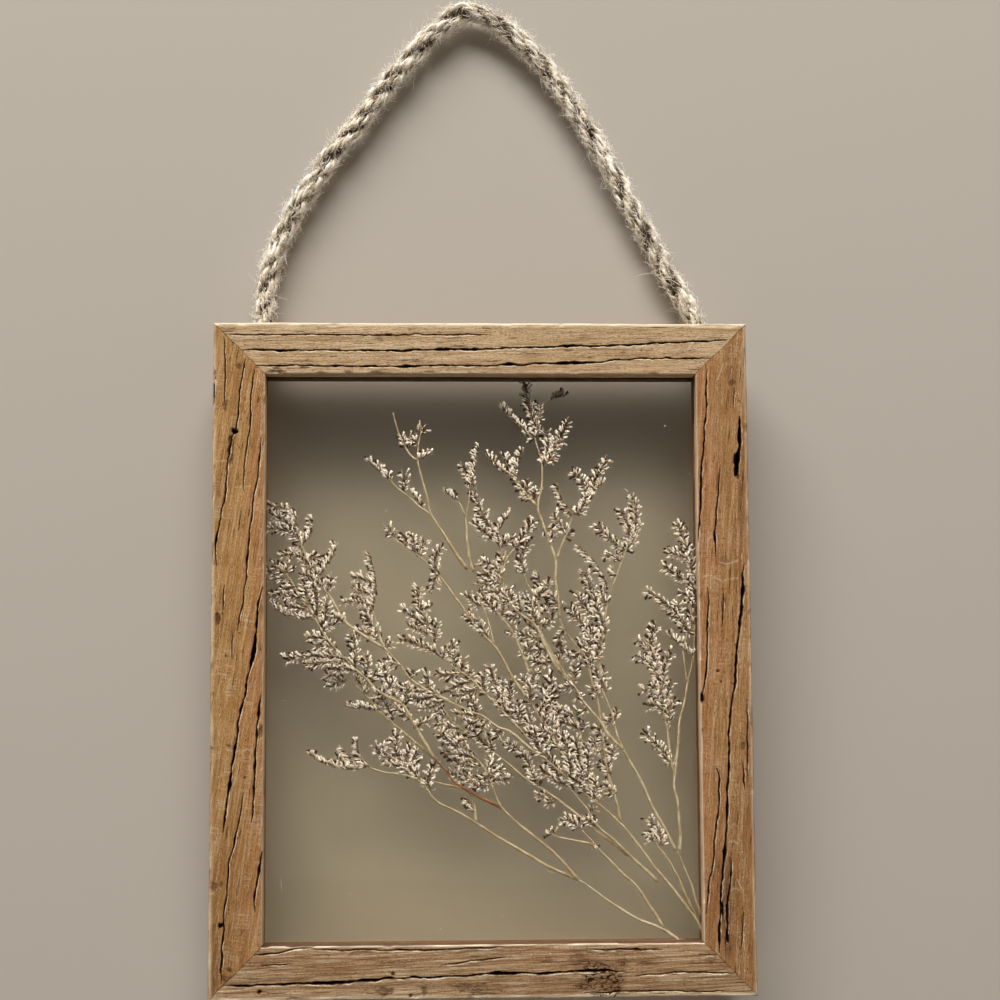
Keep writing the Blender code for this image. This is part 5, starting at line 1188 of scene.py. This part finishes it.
def calyx_tree(calyx_material):
    """Geometry nodes that stand calyces along the loose edges of a mesh and keep its faces."""
    tree = bpy.data.node_groups.new("calyces_along_spikes", "GeometryNodeTree")
    for name, kind in (("Geometry", "Geometry"), ("Spacing", "Float"), ("Length", "Float"),
                       ("Lean", "Float"), ("Flatness", "Float"), ("Seed", "Int"), ("Calyx", "Object")):
        tree.interface.new_socket(name, in_out="INPUT", socket_type="NodeSocket" + kind)
    tree.interface.new_socket("Geometry", in_out="OUTPUT", socket_type="NodeSocketGeometry")
    node = partial(add_node, tree)
    given = node("NodeGroupInput").outputs
    is_spike, own_side, other_side, is_behind, ahead = (
        node("GeometryNodeInputNamedAttribute", (name,), data_type=kind)
        for name, kind in (("is_spike", "FLOAT"), ("side", "FLOAT"), ("other_side", "FLOAT"),
                           ("behind", "FLOAT"), ("ahead", "FLOAT_VECTOR")))

    def vary(low, high, salt, kind="FLOAT"):
        """A random value for each point, between two limits."""
        seed = node("Math", (given["Seed"], salt), operation="ADD")
        limits = (0, 1) if kind == "FLOAT_VECTOR" else ("Min", "Max")
        return node("FunctionNodeRandomValue", {limits[0]: low, limits[1]: high, "Seed": seed},
                    data_type=kind).outputs["Value"]

    # Points an even step apart along the spikes, strewn a little.
    apart = node("GeometryNodeSeparateGeometry", (given["Geometry"], is_spike), domain="POINT")
    curve = node("GeometryNodeMeshToCurve", (apart.outputs["Selection"],))
    even = node("GeometryNodeResampleCurve", {"Curve": curve, "Length": given["Spacing"]}, mode="LENGTH")
    kept = node("GeometryNodeStoreNamedAttribute", {
        "Geometry": even, "Name": "ahead", "Value": node("GeometryNodeInputTangent")},
        data_type="FLOAT_VECTOR")
    stray = np.array((0.42, 0.15, 0.42)) * MM
    strewn = node("GeometryNodeSetPosition", {
        "Geometry": kept, "Offset": vary(-stray, stray, 5, "FLOAT_VECTOR")})

    # In each three points, one carries a calyx, one a brown scale behind it, dark enough to stand in for the
    # shade between calyces, and one a smaller calyx that leans to the other side, or to the same side where
    # the spike is strictly one-sided.
    number = node("GeometryNodeInputIndex")
    turn = node("Math", (number, 3.0), operation="MODULO")
    behind = node("Math", (turn, 1.0, 0.1), operation="COMPARE")
    second = node("Math", (turn, 2.0, 0.1), operation="COMPARE")
    three = node("Math", (number, 1 / 3, 0.01), operation="MULTIPLY_ADD")
    three = node("Math", (three,), operation="FLOOR")
    parity = node("Math", (three, 2.0), operation="MODULO")
    by_turns = node("Math", (parity, 2.0, -1.0), operation="MULTIPLY_ADD")
    one_sided = node("Math", (own_side,), operation="ABSOLUTE")
    sign = node("GeometryNodeSwitch", {
        "Switch": one_sided, "False": by_turns, "True": own_side}, input_type="FLOAT")
    flip = node("GeometryNodeSwitch", {
        "Switch": second, "False": 1.0, "True": other_side}, input_type="FLOAT")
    sign = node("Math", (sign, flip), operation="MULTIPLY")

    # The direction of each, leaning away from its spike.
    lean = node("Math", (given["Lean"], vary(-0.5, 0.5, 1)), operation="ADD")
    out = node("Math", (node("Math", (lean,), operation="SINE"), sign), operation="MULTIPLY")
    on = node("Math", (lean,), operation="COSINE")
    left = node("VectorMath", (ahead, (0, 1, 0)), operation="CROSS_PRODUCT")
    ahead_part = node("VectorMath", {0: ahead, "Scale": on}, operation="SCALE")
    side_part = node("VectorMath", {0: left, "Scale": out}, operation="SCALE")
    direction = node("VectorMath", (ahead_part, side_part), operation="ADD")
    towards = vary((0, -0.3, 0), (0, 0.3, 0), 2, "FLOAT_VECTOR")
    direction = node("VectorMath", (direction, towards), operation="ADD")
    turned = node("FunctionNodeAlignRotationToVector", {"Vector": direction}, axis="Z")

    # Its size: a scale is wider, so that its painted shade shows round the calyces, and a second calyx
    # shorter.
    shorter = node("Math", (behind, -0.08, 1.0), operation="MULTIPLY_ADD")
    shorter = node("Math", (second, -0.15, shorter), operation="MULTIPLY_ADD")
    size = node("Math", (vary(0.6, 1.2, 3), shorter), operation="MULTIPLY")
    size = node("Math", (size, given["Length"]), operation="MULTIPLY")
    wider = node("Math", (behind, 0.5, 1.0), operation="MULTIPLY_ADD")
    wide = node("Math", (size, wider), operation="MULTIPLY")
    stretch = node("CombineXYZ", (wide, wide, size))
    calyx = node("GeometryNodeObjectInfo", {"Object": given["Calyx"]}).outputs["Geometry"]
    calyces = node("GeometryNodeInstanceOnPoints", {
        "Points": strewn, "Instance": calyx, "Rotation": turned, "Scale": stretch})
    for name, value in (("tint", vary(0.0, 1.0, 4)), ("behind", behind)):
        calyces = node("GeometryNodeStoreNamedAttribute", {
            "Geometry": calyces, "Name": name, "Value": value}, data_type="FLOAT", domain="INSTANCE")
    real = node("GeometryNodeRealizeInstances", (calyces,))

    # The press flattens all of it and lays the scales behind the calyces.
    flat = node("CombineXYZ", (1.0, given["Flatness"], 1.0))
    pressed = node("VectorMath", (node("GeometryNodeInputPosition"), flat), operation="MULTIPLY")
    layer = node("Math", (is_behind, 0.5 * MM, -0.15 * MM), operation="MULTIPLY_ADD")
    moved = node("GeometryNodeSetPosition", {
        "Geometry": real, "Position": pressed, "Offset": node("CombineXYZ", {"Y": layer})})
    papered = node("GeometryNodeSetMaterial", {"Geometry": moved, "Material": calyx_material})
    joined = node("GeometryNodeJoinGeometry", (papered,))
    tree.links.new(apart.outputs["Inverted"], joined.inputs[0])
    node("NodeGroupOutput", {"Geometry": joined})
    return tree


def nearest_on(point, lines):
    """The place on some lines that is nearest to a point."""
    best, least = None, math.inf
    for line in lines:
        ahead = np.diff(line, axis=0)
        share = np.clip(((point - line[:-1]) * ahead).sum(1) / (ahead ** 2).sum(1), 0, 1)
        places = line[:-1] + ahead * share[:, None]
        away = np.linalg.norm(places - point, axis=1)
        if away.min() < least:
            best, least = places[int(away.argmin())], away.min()
    return best


def bowed_line(foot, tip, bow, count):
    """A curved line from foot to tip, whose middle stands off the chord to its left."""
    chord = tip - foot
    left = np.array([-chord[1], chord[0]]) / np.linalg.norm(chord)
    share = np.linspace(0, 1, count)[:, None]
    return foot + chord * share + left * (4 * bow * share * (1 - share))


def trimmed(line, amount):
    """A line cut short at its tip, so that what stands on its end stays within its length."""
    length = walked_along(line)[-1]
    return points_at(line, np.linspace(0, max(length - amount, 0.35 * length), len(line)))


def in_window(line):
    """Metres in the plane y = 0 for points given in millimetres from the window's lower left corner."""
    return np.stack([line[:, 0] + WINDOW_LEFT, 0 * line[:, 0], line[:, 1] + WINDOW_BOTTOM], axis=1) * MM


def make_sprig(name, settings, tree, calyx, stem_material, seed):
    """One pressed sprig: ribbed stems, a thin axis for each spike, and calyces along the spikes."""
    stems, spikes = SPRIGS[name]
    draw = random.Random(seed)
    tubes = Tubes()
    lines = [smooth_line(stem, 1.5) for stem in stems]
    for number, line in enumerate(lines):
        inner = np.arange(1, len(line) - 1)
        line[1:-1] += 0.16 * np.stack([
            soft_noise(inner / 4, axis + 2 * number, seed) for axis in (0, 1)], 1)
        foot = settings.stem_foot if number == 0 else (settings.stem_foot + settings.stem_tip) / 2
        widths = np.linspace(foot, settings.stem_tip, len(line))
        widths *= 1 + 0.14 * soft_noise(np.arange(len(line)) / 3, number, seed + 1)
        tubes.add(in_window(line), widths / 2, 8, draw.random(), 0.6)
    rooted_lines = []
    tip_kept = 0.62 * settings.calyx_length / MM
    half_way = 0.42 * settings.calyx_length / MM
    for *ends, bow, side in [(*spike, BOTH)[:6] for spike in spikes]:
        foot, tip = nearest_on(np.array(ends[:2]), lines), np.array(ends[2:])
        chord = tip - foot
        length = np.linalg.norm(chord)
        line = bowed_line(foot, tip, bow, max(4, round(length)))
        tubes.add(in_window(line), np.linspace(0.22, 0.12, len(line)) * MM, 6, draw.random(), 0.6)
        lines.append(line)
        left = np.array([-chord[1], chord[0]]) / length
        other_side = -1 if side == BOTH else 1
        rooted = trimmed(line, tip_kept)
        if side == BOTH and draw.random() < 0.7:
            # The calyces of most spikes lie combed to the upper left, across the axis.
            side = LEFT if left @ (-0.7, 0.7) > 0 else RIGHT
            rooted = rooted - side * left * half_way * math.sin(settings.calyx_lean)
            rooted = rooted - chord / length * half_way * math.cos(settings.calyx_lean) * 0.5
        rooted_lines.append((side, other_side, in_window(rooted)))

    # The calyces' lines are loose edges after the tubes' own points, and carry marks for the nodes.
    edges = []
    first = tubes.count
    for _, _, line in rooted_lines:
        edges += [(first + i, first + i + 1) for i in range(len(line) - 1)]
        first += len(line)
    mesh = mesh_of(name + "_spray", np.vstack(tubes.points + [line for _, _, line in rooted_lines]),
                   tubes.faces, edges)
    marks = {
        "tone": tubes.marks["tone"] + [np.zeros(first - tubes.count)],
        "is_spike": [np.zeros(tubes.count), np.ones(first - tubes.count)],
        "side": [np.zeros(tubes.count)] + [np.full(len(line), side) for side, _, line in rooted_lines],
        "other_side": [np.zeros(tubes.count)] + [np.full(len(line), side) for _, side, line in rooted_lines],
    }
    for mark, values in marks.items():
        set_attribute(mesh, mark, np.concatenate(values))
    mesh.materials.append(stem_material)
    if spikes:
        grown = put_in_scene(name + "_grown", mesh)
        mesh = grow_calyces(grown, tree, calyx, settings, seed)
        mesh.name = name + "_spray"
        bpy.data.objects.remove(grown)
    low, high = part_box(name)
    mesh.transform(Matrix.Translation((0, (low.y + high.y) / 2, 0)))
    add_piece(name + "_spray", mesh, replaced=name)


def grow_calyces(grown, tree, calyx, settings, seed):
    """Run the calyx nodes on a sprig and return the plain mesh that they make."""
    modifier = grown.modifiers.new("calyces", "NODES")
    modifier.node_group = tree
    values = {
        "Spacing": settings.calyx_spacing, "Length": settings.calyx_length, "Lean": settings.calyx_lean,
        "Flatness": settings.flatness, "Seed": seed, "Calyx": calyx,
    }
    for item in tree.interface.items_tree:
        if item.in_out == "INPUT" and item.name in values:
            modifier[item.identifier] = values[item.name]
    bpy.context.view_layer.update()
    depsgraph = bpy.context.evaluated_depsgraph_get()
    return bpy.data.meshes.new_from_object(
        grown.evaluated_get(depsgraph), preserve_all_data_layers=True, depsgraph=depsgraph)


# The rope.

STRANDS, YARNS = 3, 8
# Shares of the rope's radius: from its middle to a strand's, from there to a yarn's, and a yarn's radius.
STRAND_OUT, YARN_OUT, YARN_RADIUS = 0.46, 0.33, 0.17
TO_WALL = np.array([0.0, 1.0, 0.0])
NAP_FIBRES = 11000  # short crimped bits
NAP_FROM = 0.62  # deeper in the rope than this share of its radius there is no nap
STAPLE_UP = STAPLES["left_staple"][1]
WALL = 5.8  # the front of the stage's wall, in millimetres behind the rope's middle
FIBRES_STOP = 5.0  # no fibre reaches further back than this, so none touches the wall


def jute(settings):
    """Raw jute: matt yellowish fibres, paler where they are frayed, with painted shade: dark deep between
    the yarns.
    """
    material, node = new_material("raw_jute")
    place = node("TexCoord").outputs["Object"]
    along, around, tone = (node("Attribute", attribute_name=mark).outputs["Fac"]
                           for mark in ("along", "around", "tone"))
    thread = node("CombineXYZ", (along, around, tone))
    drawn_out = node("Mapping", {"Vector": thread, "Scale": (0.35, 9.0, 40.0)})
    fibre = node("TexNoise", {"Vector": drawn_out, "Scale": 1.0, "Detail": 4.0, "Roughness": 0.7})
    patch = node("TexNoise", {"Vector": place, "Scale": 1 / (5 * MM), "Detail": 3.0})
    uneven = node("MapRange", (fibre, 0.3, 0.7, -0.35, 0.35), **SMOOTH)
    paleness = node("Math", (tone, uneven), operation="ADD")
    colour = layered(
        node, settings.brown, (paleness, 0.0, 0.5, linear("#E2CEAE")), (paleness, 0.35, 0.75, settings.pale),
        (patch, 0.58, 0.75, 0, 0.3, settings.brown))
    bump = node("Bump", {"Height": fibre, "Strength": 0.7, "Distance": 0.15 * MM})
    shader = node("BsdfPrincipled", {
        "Base Color": colour, "Roughness": 0.9, "Sheen Weight": 0.25, "Normal": bump})
    node("OutputMaterial", (shader,))
    return material


def rope_frame():
    """The rope's middle line in millimetres, with its direction and the direction to its side."""
    line = smooth_line(ROPE_ROUTE, 1.2)
    middle = np.stack([line[:, 0], 0 * line[:, 0], line[:, 1]], axis=1)
    ahead = units(np.gradient(middle, axis=0))
    return middle, ahead, np.cross((0, 1, 0), ahead)


def bent_fibre(tubes, draw, base, way, out, length, thick, bend, fall, crimp, steps, tone):
    """One fibre that leaves its base in a direction, bends, falls back and is crimped on the way."""
    share = np.linspace(0, 1, steps)[:, None]
    way = way / np.linalg.norm(way)
    bend = bend * np.array([draw.uniform(-1, 1) for _ in range(3)])
    path = base + way * length * share + (bend - out * 0.5 * fall) * length * share ** 2
    wave = share * math.pi * draw.uniform(1.5, 3.5)
    path += np.cross(way, out) * crimp * np.sin(wave) + out * 0.5 * crimp * (1 - np.cos(wave))
    path[:, 1] = np.minimum(path[:, 1], FIBRES_STOP)
    tubes.add(path * MM, np.linspace(1, 0.4, steps) * thick * MM, 3, tone,
              upright=tuple(np.cross(way, (0.31, 0.77, 0.55))))


def lay_yarns(middle, beside, radius, lay, draw):
    """The yarns of the rope's strands, and the middle line of each strand."""
    walked = walked_along(middle)
    # Below the staples the ends turn outward, behind the stiles.
    outward = np.sign(middle[:, 0]) * 2.4 * np.clip((STAPLE_UP - 1 - middle[:, 2]) / 4, 0, 1)
    laid = middle + np.stack([outward, *np.zeros((2, len(middle)))], 1)
    tubes, centres = Tubes(), []
    for strand in range(STRANDS):
        turn = 2 * math.pi * (strand / STRANDS + walked / lay) + 0.6 * soft_noise(walked / 18, strand, 31)
        away = STRAND_OUT * radius * (1 + 0.12 * soft_noise(walked / 7, strand, 36))
        centre = away[:, None] * (np.cos(turn)[:, None] * beside + np.sin(turn)[:, None] * TO_WALL)
        centres.append(laid + centre)
        # After the yarns that lie round the strand, one more runs down its middle.
        for yarn in range(YARNS + 1):
            number = strand * (YARNS + 1) + yarn
            spin = 2 * math.pi * (yarn / YARNS - walked / (0.7 * lay))
            spin += 0.9 * soft_noise(walked / 9, number, 32)
            out = (YARN_OUT * radius if yarn < YARNS else 0.0) + 0.38 * soft_noise(walked / 4.5, number, 33)
            path = centres[-1] + out[:, None] * (
                np.cos(spin)[:, None] * beside + np.sin(spin)[:, None] * TO_WALL)
            path += 0.30 * np.stack([soft_noise(walked / 2.2, number * 3 + k, 34) for k in range(3)], 1)
            thick = YARN_RADIUS * radius * (1 + 0.4 * soft_noise(walked / 3.1, number, 35))
            # Yarn deep in the rope is darker: painted shade between the yarns.
            outer = np.linalg.norm(path - laid, axis=1) / radius
            tone = np.clip((outer - 0.53) * 2.7, 0, 1) * draw.uniform(0.7, 1.2)
            tubes.add(path * MM, thick * MM, 6, tone)
    return tubes, centres


def short_bit(nap, draw, strand, i, middle, out, round_rope, radius):
    """A short crimped bit that lies round its strand along its twist, or across it."""
    base = strand[i] + out * (YARN_OUT * radius + YARN_RADIUS * radius) * draw.uniform(0.8, 1.12)
    lay_angle = draw.gauss(-0.35, 0.5)
    way = (strand[i + 1] - strand[i - 1]) / np.linalg.norm(strand[i + 1] - strand[i - 1])
    way = way * math.cos(lay_angle) + round_rope * math.sin(lay_angle)
    way = way * draw.choice((-1, 1)) + out * draw.uniform(0.0, 0.22)
    outer = np.linalg.norm(base - middle) / radius
    if outer >= NAP_FROM and middle[2] >= STAPLE_UP - 2:
        # Nap deeper in the rope is darker: painted shade.
        tone = min(1.0, max(0.0, 0.27 + 4.0 * (outer - NAP_FROM) + draw.uniform(-0.25, 0.35)))
        bent_fibre(nap, draw, base, way, out, draw.uniform(1.4, 4.4), draw.uniform(0.08, 0.17), 0.3,
                   0.12, draw.uniform(0.05, 0.3), 5, tone)


def stray_fibre(fibres, draw, ahead, middle, out, round_rope, radius):
    """A thin fibre that stands off the rope. A few are long."""
    base = middle + out * radius * draw.uniform(0.8, 1.0)
    way = ahead * draw.choice((-1, 1)) + out * draw.uniform(0.3, 1.5)
    way += round_rope * draw.uniform(-0.9, 0.9)
    if middle[2] >= STAPLE_UP + 2:
        length = draw.uniform(5, 10) if draw.random() < 0.03 else draw.uniform(1.6, 4.2)
        bent_fibre(fibres, draw, base, way, out, length, draw.uniform(0.05, 0.09), 0.5,
                   0.35, draw.uniform(0.25, 0.75), 7, draw.uniform(0.7, 1.0))


def make_rope(settings, material):
    """Three strands of loosely spun jute yarn, laid up to the right, with a nap of short fibres."""
    middle, ahead, beside = rope_frame()
    radius = settings.diameter / 2 / MM
    draw = random.Random(21)
    yarns, centres = lay_yarns(middle, beside, radius, settings.strand_lay / MM, draw)
    rope = add_piece("jute_rope", yarns.mesh("jute_rope"), material, replaced="hanging_rope")

    nap, fibres = Tubes(), Tubes()
    for number in range(NAP_FIBRES + settings.fibres):
        i = draw.randrange(2, len(middle) - 2)
        angle = draw.uniform(0, 2 * math.pi)
        out = math.cos(angle) * beside[i] + math.sin(angle) * TO_WALL
        round_rope = np.cross(ahead[i], out)
        if number < NAP_FIBRES:
            strand = centres[draw.randrange(STRANDS)]
            short_bit(nap, draw, strand, i, middle[i], out, round_rope, radius)
        else:
            stray_fibre(fibres, draw, ahead[i], middle[i], out, round_rope, radius)
    nap = add_piece("rope_nap", nap.mesh("rope_nap"), material)
    fuzz = add_piece("rope_fibres", fibres.mesh("rope_fibres"), material)


def dull_wire():
    """Galvanised staple wire: grey metal gone dull, a little brown in places."""
    material, node = new_material("dull_galvanised_wire")
    place = node("TexCoord").outputs["Object"]
    spots = node("TexNoise", {"Vector": place, "Scale": 1 / (1.2 * MM), "Detail": 4.0})
    shader = node("BsdfPrincipled", {
        "Base Color": layered(node, linear("#9A9A98"), (spots, 0.5, 0.7, 0, 0.8, linear("#6B4A32"))),
        "Metallic": 0.9, "Roughness": node("MapRange", (spots, 0.3, 0.7, 0.35, 0.7), **SMOOTH)})
    node("OutputMaterial", (shader,))
    return material


def make_staple(name, material):
    """A staple of round wire with bent corners, driven over the rope into the back of the frame."""
    wire, rope_radius, corner, driven = 1.2, 4, 1.3, 5.9
    half = rope_radius + GAP + wire / 2
    leg_y = FRAME_BACK - driven
    x, z = STAPLES[name]
    path = [(x - half, leg_y, z), (x - half, half - corner, z)]
    for share in (0.25, 0.5, 0.75):
        turn = share * math.pi / 2
        path.append((x - half + corner * (1 - math.cos(turn)), half - corner * (1 - math.sin(turn)), z))
    path.append((x - half + corner, half, z))
    path += [(2 * x - px, py, pz) for px, py, pz in reversed(path)]
    tubes = Tubes()
    tubes.add(np.array(path) * MM, wire / 2 * MM, 12, 0.5, upright=(0, 0, 1))
    add_piece(name + "_wire", tubes.mesh(name + "_wire"), material, replaced=name)


# Stage.

CAMERA_PLACE = (-8.8, -468.5, -277.6)
CAMERA_TURN = (-0.0592, -0.0037, 0.0248)  # radians, from the row's axes to the camera's
CAMERA_LENS = 42.96
CAMERA_SHIFT = (0.0115, 0.1403)


def make_camera():
    """The camera where the photo was taken from."""
    data = bpy.data.cameras.new("front_camera")
    data.sensor_width = 36
    data.lens = CAMERA_LENS
    data.shift_x, data.shift_y = CAMERA_SHIFT
    data.clip_start = 10 * MM
    camera = put_in_scene("front_camera", data)
    turn = Euler(CAMERA_TURN).to_matrix().transposed() @ Matrix.Rotation(math.pi / 2, 3, "X")
    camera.matrix_world = Matrix.Translation(Vector(CAMERA_PLACE) * MM) @ turn.to_4x4()
    bpy.context.scene.camera = camera


def plain_plaster(settings):
    """Pale matt wall and floor. Only the side towards the room shows, and lamps behind it reach past."""
    material, node = new_material("pale_stage")
    plain = node("BsdfDiffuse", (settings.wall,))
    from_behind = node("NewGeometry").outputs["Backfacing"]
    shadow = node("LightPath").outputs["Is Shadow Ray"]
    hidden = node("Math", (from_behind, shadow), operation="MAXIMUM")
    node("OutputMaterial", (node("MixShader", (hidden, plain, node("BsdfTransparent"))),))
    return material


def make_sheet(name, corners, material):
    """A flat sheet of the stage."""
    mesh = bpy.data.meshes.new(name)
    mesh.from_pydata(corners, [], [range(len(corners))])
    mesh.materials.append(material)
    sheet = put_in_scene(name, mesh)
    return sheet


def make_lamp(name, place, size, power, colour):
    """A soft rectangular lamp in the room, in metres, turned to the frame."""
    data = bpy.data.lights.new(name, "AREA")
    data.shape = "RECTANGLE"
    data.size, data.size_y = size
    data.energy = power
    data.color = colour
    lamp = put_in_scene(name, data)
    lamp.location = place
    lamp.rotation_euler = (Vector((0, 0, -0.25)) - Vector(place)).to_track_quat("-Z", "Y").to_euler()
    lamp.visible_glossy = False


def make_stage(settings):
    """Pale wall close behind the frame, pale floor below it, and soft light from above in front."""
    plaster = plain_plaster(settings)
    wall_y, floor_z, reach = WALL * MM, -1.2, 2.5
    make_sheet("wall", [(-reach, wall_y, floor_z), (reach, wall_y, floor_z), (reach, wall_y, reach),
                        (-reach, wall_y, reach)], plaster)
    floor = make_sheet("floor", [(-reach, -reach, floor_z), (reach, -reach, floor_z),
                                 (reach, reach, floor_z), (-reach, reach, floor_z)], plaster)
    floor.visible_glossy = False
    power = settings.key_power
    make_lamp("soft_key", (-0.4, -1.5, 2.2), (2.9, 1.25), power, (1.0, 0.985, 0.96))
    make_lamp("room_fill", (0.3, -1.5, 0.1), (1.4, 1.4), power * 0.005, (1.0, 0.88, 0.7))
    make_lamp("back_fill", (0.3, 1.0, 0.4), (1.0, 1.0), power * 0.04, (1.0, 0.98, 0.95))
    world = bpy.data.worlds.new("soft_room")
    world.use_nodes = True
    background = world.node_tree.nodes["Background"]
    background.inputs["Color"].default_value = (*linear("#E8CFA2"), 1.0)
    background.inputs["Strength"].default_value = 0.025
    bpy.context.scene.world = world
    bpy.context.scene.view_settings.view_transform = "Standard"


# Operators, one for each piece or group of like pieces, in the order in which main runs them.

class FLOWERFRAME_OT_camera(bpy.types.Operator):
    """Place the camera in front of the frame"""
    bl_idname = "flowerframe.camera"
    bl_label = "Camera"

    def execute(self, context):
        make_camera()
        return {"FINISHED"}


class FLOWERFRAME_OT_rope(bpy.types.Operator):
    """Lay up the hanging rope from jute yarns and loose fibres"""
    bl_idname = "flowerframe.rope"
    bl_label = "Jute Rope"

    def execute(self, context):
        settings = context.scene.flowerframe_rope
        make_rope(settings, jute(settings))
        return {"FINISHED"}


class FLOWERFRAME_OT_mouldings(bpy.types.Operator):
    """Make the four mitred sides of the frame"""
    bl_idname = "flowerframe.mouldings"
    bl_label = "Mouldings"

    def execute(self, context):
        settings = context.scene.flowerframe_wood
        for number, name in enumerate(("top_rail", "bottom_rail", "left_stile", "right_stile")):
            drift = GRAIN_DRIFT[name]
            lean = {
                "top_rail": math.pi / 2 + drift, "bottom_rail": math.pi / 2 - drift,
                "left_stile": drift, "right_stile": -drift,
            }[name]
            side, kind = name.split("_")
            material = weathered_pine(
                name + "_pine", getattr(settings, side + "_pale"), getattr(settings, side + "_brown"),
                settings, lean, number * 2.7, WOOD_LOOKS[name])
            make_moulding(name, material, settings, 40 + 10 * number)
        return {"FINISHED"}


class FLOWERFRAME_OT_beads(bpy.types.Operator):
    """Make the four strips that hold the panes in from behind"""
    bl_idname = "flowerframe.beads"
    bl_label = "Glazing Beads"

    def execute(self, context):
        settings = context.scene.flowerframe_wood
        for number, name in enumerate(("top_bead", "bottom_bead", "left_bead", "right_bead")):
            lean = math.pi / 2 if number < 2 else 0
            # The strips get darker pine than the mouldings: painted shade for their place deep in the
            # rebate.
            material = weathered_pine(
                name + "_pine", linear("#7A5B3E"), linear("#543B26"), settings, lean, 20 + number * 1.9)
            mesh = worn_bar(name + "_strip", *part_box(name), 0.4 * MM, 90 + number)
            add_piece(name + "_strip", mesh, material, replaced=name)
        return {"FINISHED"}


class FLOWERFRAME_OT_glass(bpy.types.Operator):
    """Give the two panes their glass, and put the dried specks on the front one"""
    bl_idname = "flowerframe.glass"
    bl_label = "Glass"

    def execute(self, context):
        settings = context.scene.flowerframe_glass
        glass = window_glass(settings)
        for name in ("front_pane", "back_pane"):
            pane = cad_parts[name].data
            pane.materials.clear()
            pane.materials.append(glass)
        make_specks(dried_speck(settings))
        return {"FINISHED"}


class FLOWERFRAME_OT_sprigs(bpy.types.Operator):
    """Grow the pressed sprigs: stems, spikes and calyces"""
    bl_idname = "flowerframe.sprigs"
    bl_label = "Pressed Sprigs"

    def execute(self, context):
        settings = context.scene.flowerframe_flowers
        straw = dried_stem("dried_straw_stem", settings.stem, linear("#8E7650"))
        red = dried_stem("dried_reddish_stem", settings.red_stem, linear("#6E4026"))
        calyx = make_calyx()
        tree = calyx_tree(papery_calyx(settings))
        for number, name in enumerate(SPRIGS):
            stem_material = red if name == "red_twig" else straw
            make_sprig(name, settings, tree, calyx, stem_material, 100 + number)
        bpy.data.objects.remove(calyx)
        return {"FINISHED"}


class FLOWERFRAME_OT_staples(bpy.types.Operator):
    """Bend the two staples that hold the rope's ends"""
    bl_idname = "flowerframe.staples"
    bl_label = "Staples"

    def execute(self, context):
        wire = dull_wire()
        for name in STAPLES:
            make_staple(name, wire)
        return {"FINISHED"}


class FLOWERFRAME_OT_stage(bpy.types.Operator):
    """Set up the pale wall, the floor and the soft light"""
    bl_idname = "flowerframe.stage"
    bl_label = "Stage"

    def execute(self, context):
        make_stage(context.scene.flowerframe_stage)
        return {"FINISHED"}


STEPS = (
    FLOWERFRAME_OT_camera, FLOWERFRAME_OT_rope, FLOWERFRAME_OT_mouldings, FLOWERFRAME_OT_beads,
    FLOWERFRAME_OT_glass, FLOWERFRAME_OT_sprigs, FLOWERFRAME_OT_staples, FLOWERFRAME_OT_stage,
)
SETTINGS = {
    "flowerframe_wood": WoodSettings, "flowerframe_glass": GlassSettings,
    "flowerframe_flowers": FlowerSettings, "flowerframe_rope": RopeSettings,
    "flowerframe_stage": StageSettings,
}


class FLOWERFRAME_PT_panel(bpy.types.Panel):
    """Settings and steps of the pressed flower frame"""
    bl_idname = "FLOWERFRAME_PT_panel"
    bl_label = "Pressed Flower Frame"
    bl_space_type = "VIEW_3D"
    bl_region_type = "UI"
    bl_category = "Flower Frame"

    def draw(self, context):
        for name, kind in SETTINGS.items():
            box = self.layout.box()
            settings = getattr(context.scene, name)
            for setting in kind.__annotations__:
                box.prop(settings, setting)
        for step in STEPS:
            self.layout.operator(step.bl_idname)


def register():
    """Register the settings, the operators and the panel."""
    for kind in (*SETTINGS.values(), *STEPS, FLOWERFRAME_PT_panel):
        bpy.utils.register_class(kind)
    for name, kind in SETTINGS.items():
        setattr(bpy.types.Scene, name, bpy.props.PointerProperty(type=kind))


def unregister():
    """Take them away again."""
    for name in SETTINGS:
        delattr(bpy.types.Scene, name)
    for kind in (FLOWERFRAME_PT_panel, *reversed(STEPS), *reversed(tuple(SETTINGS.values()))):
        bpy.utils.unregister_class(kind)


def main():
    """Run all the steps."""
    register()
    for step in STEPS:
        group, name = step.bl_idname.split(".")
        getattr(getattr(bpy.ops, group), name)()


if __name__ == "__main__":
    main()
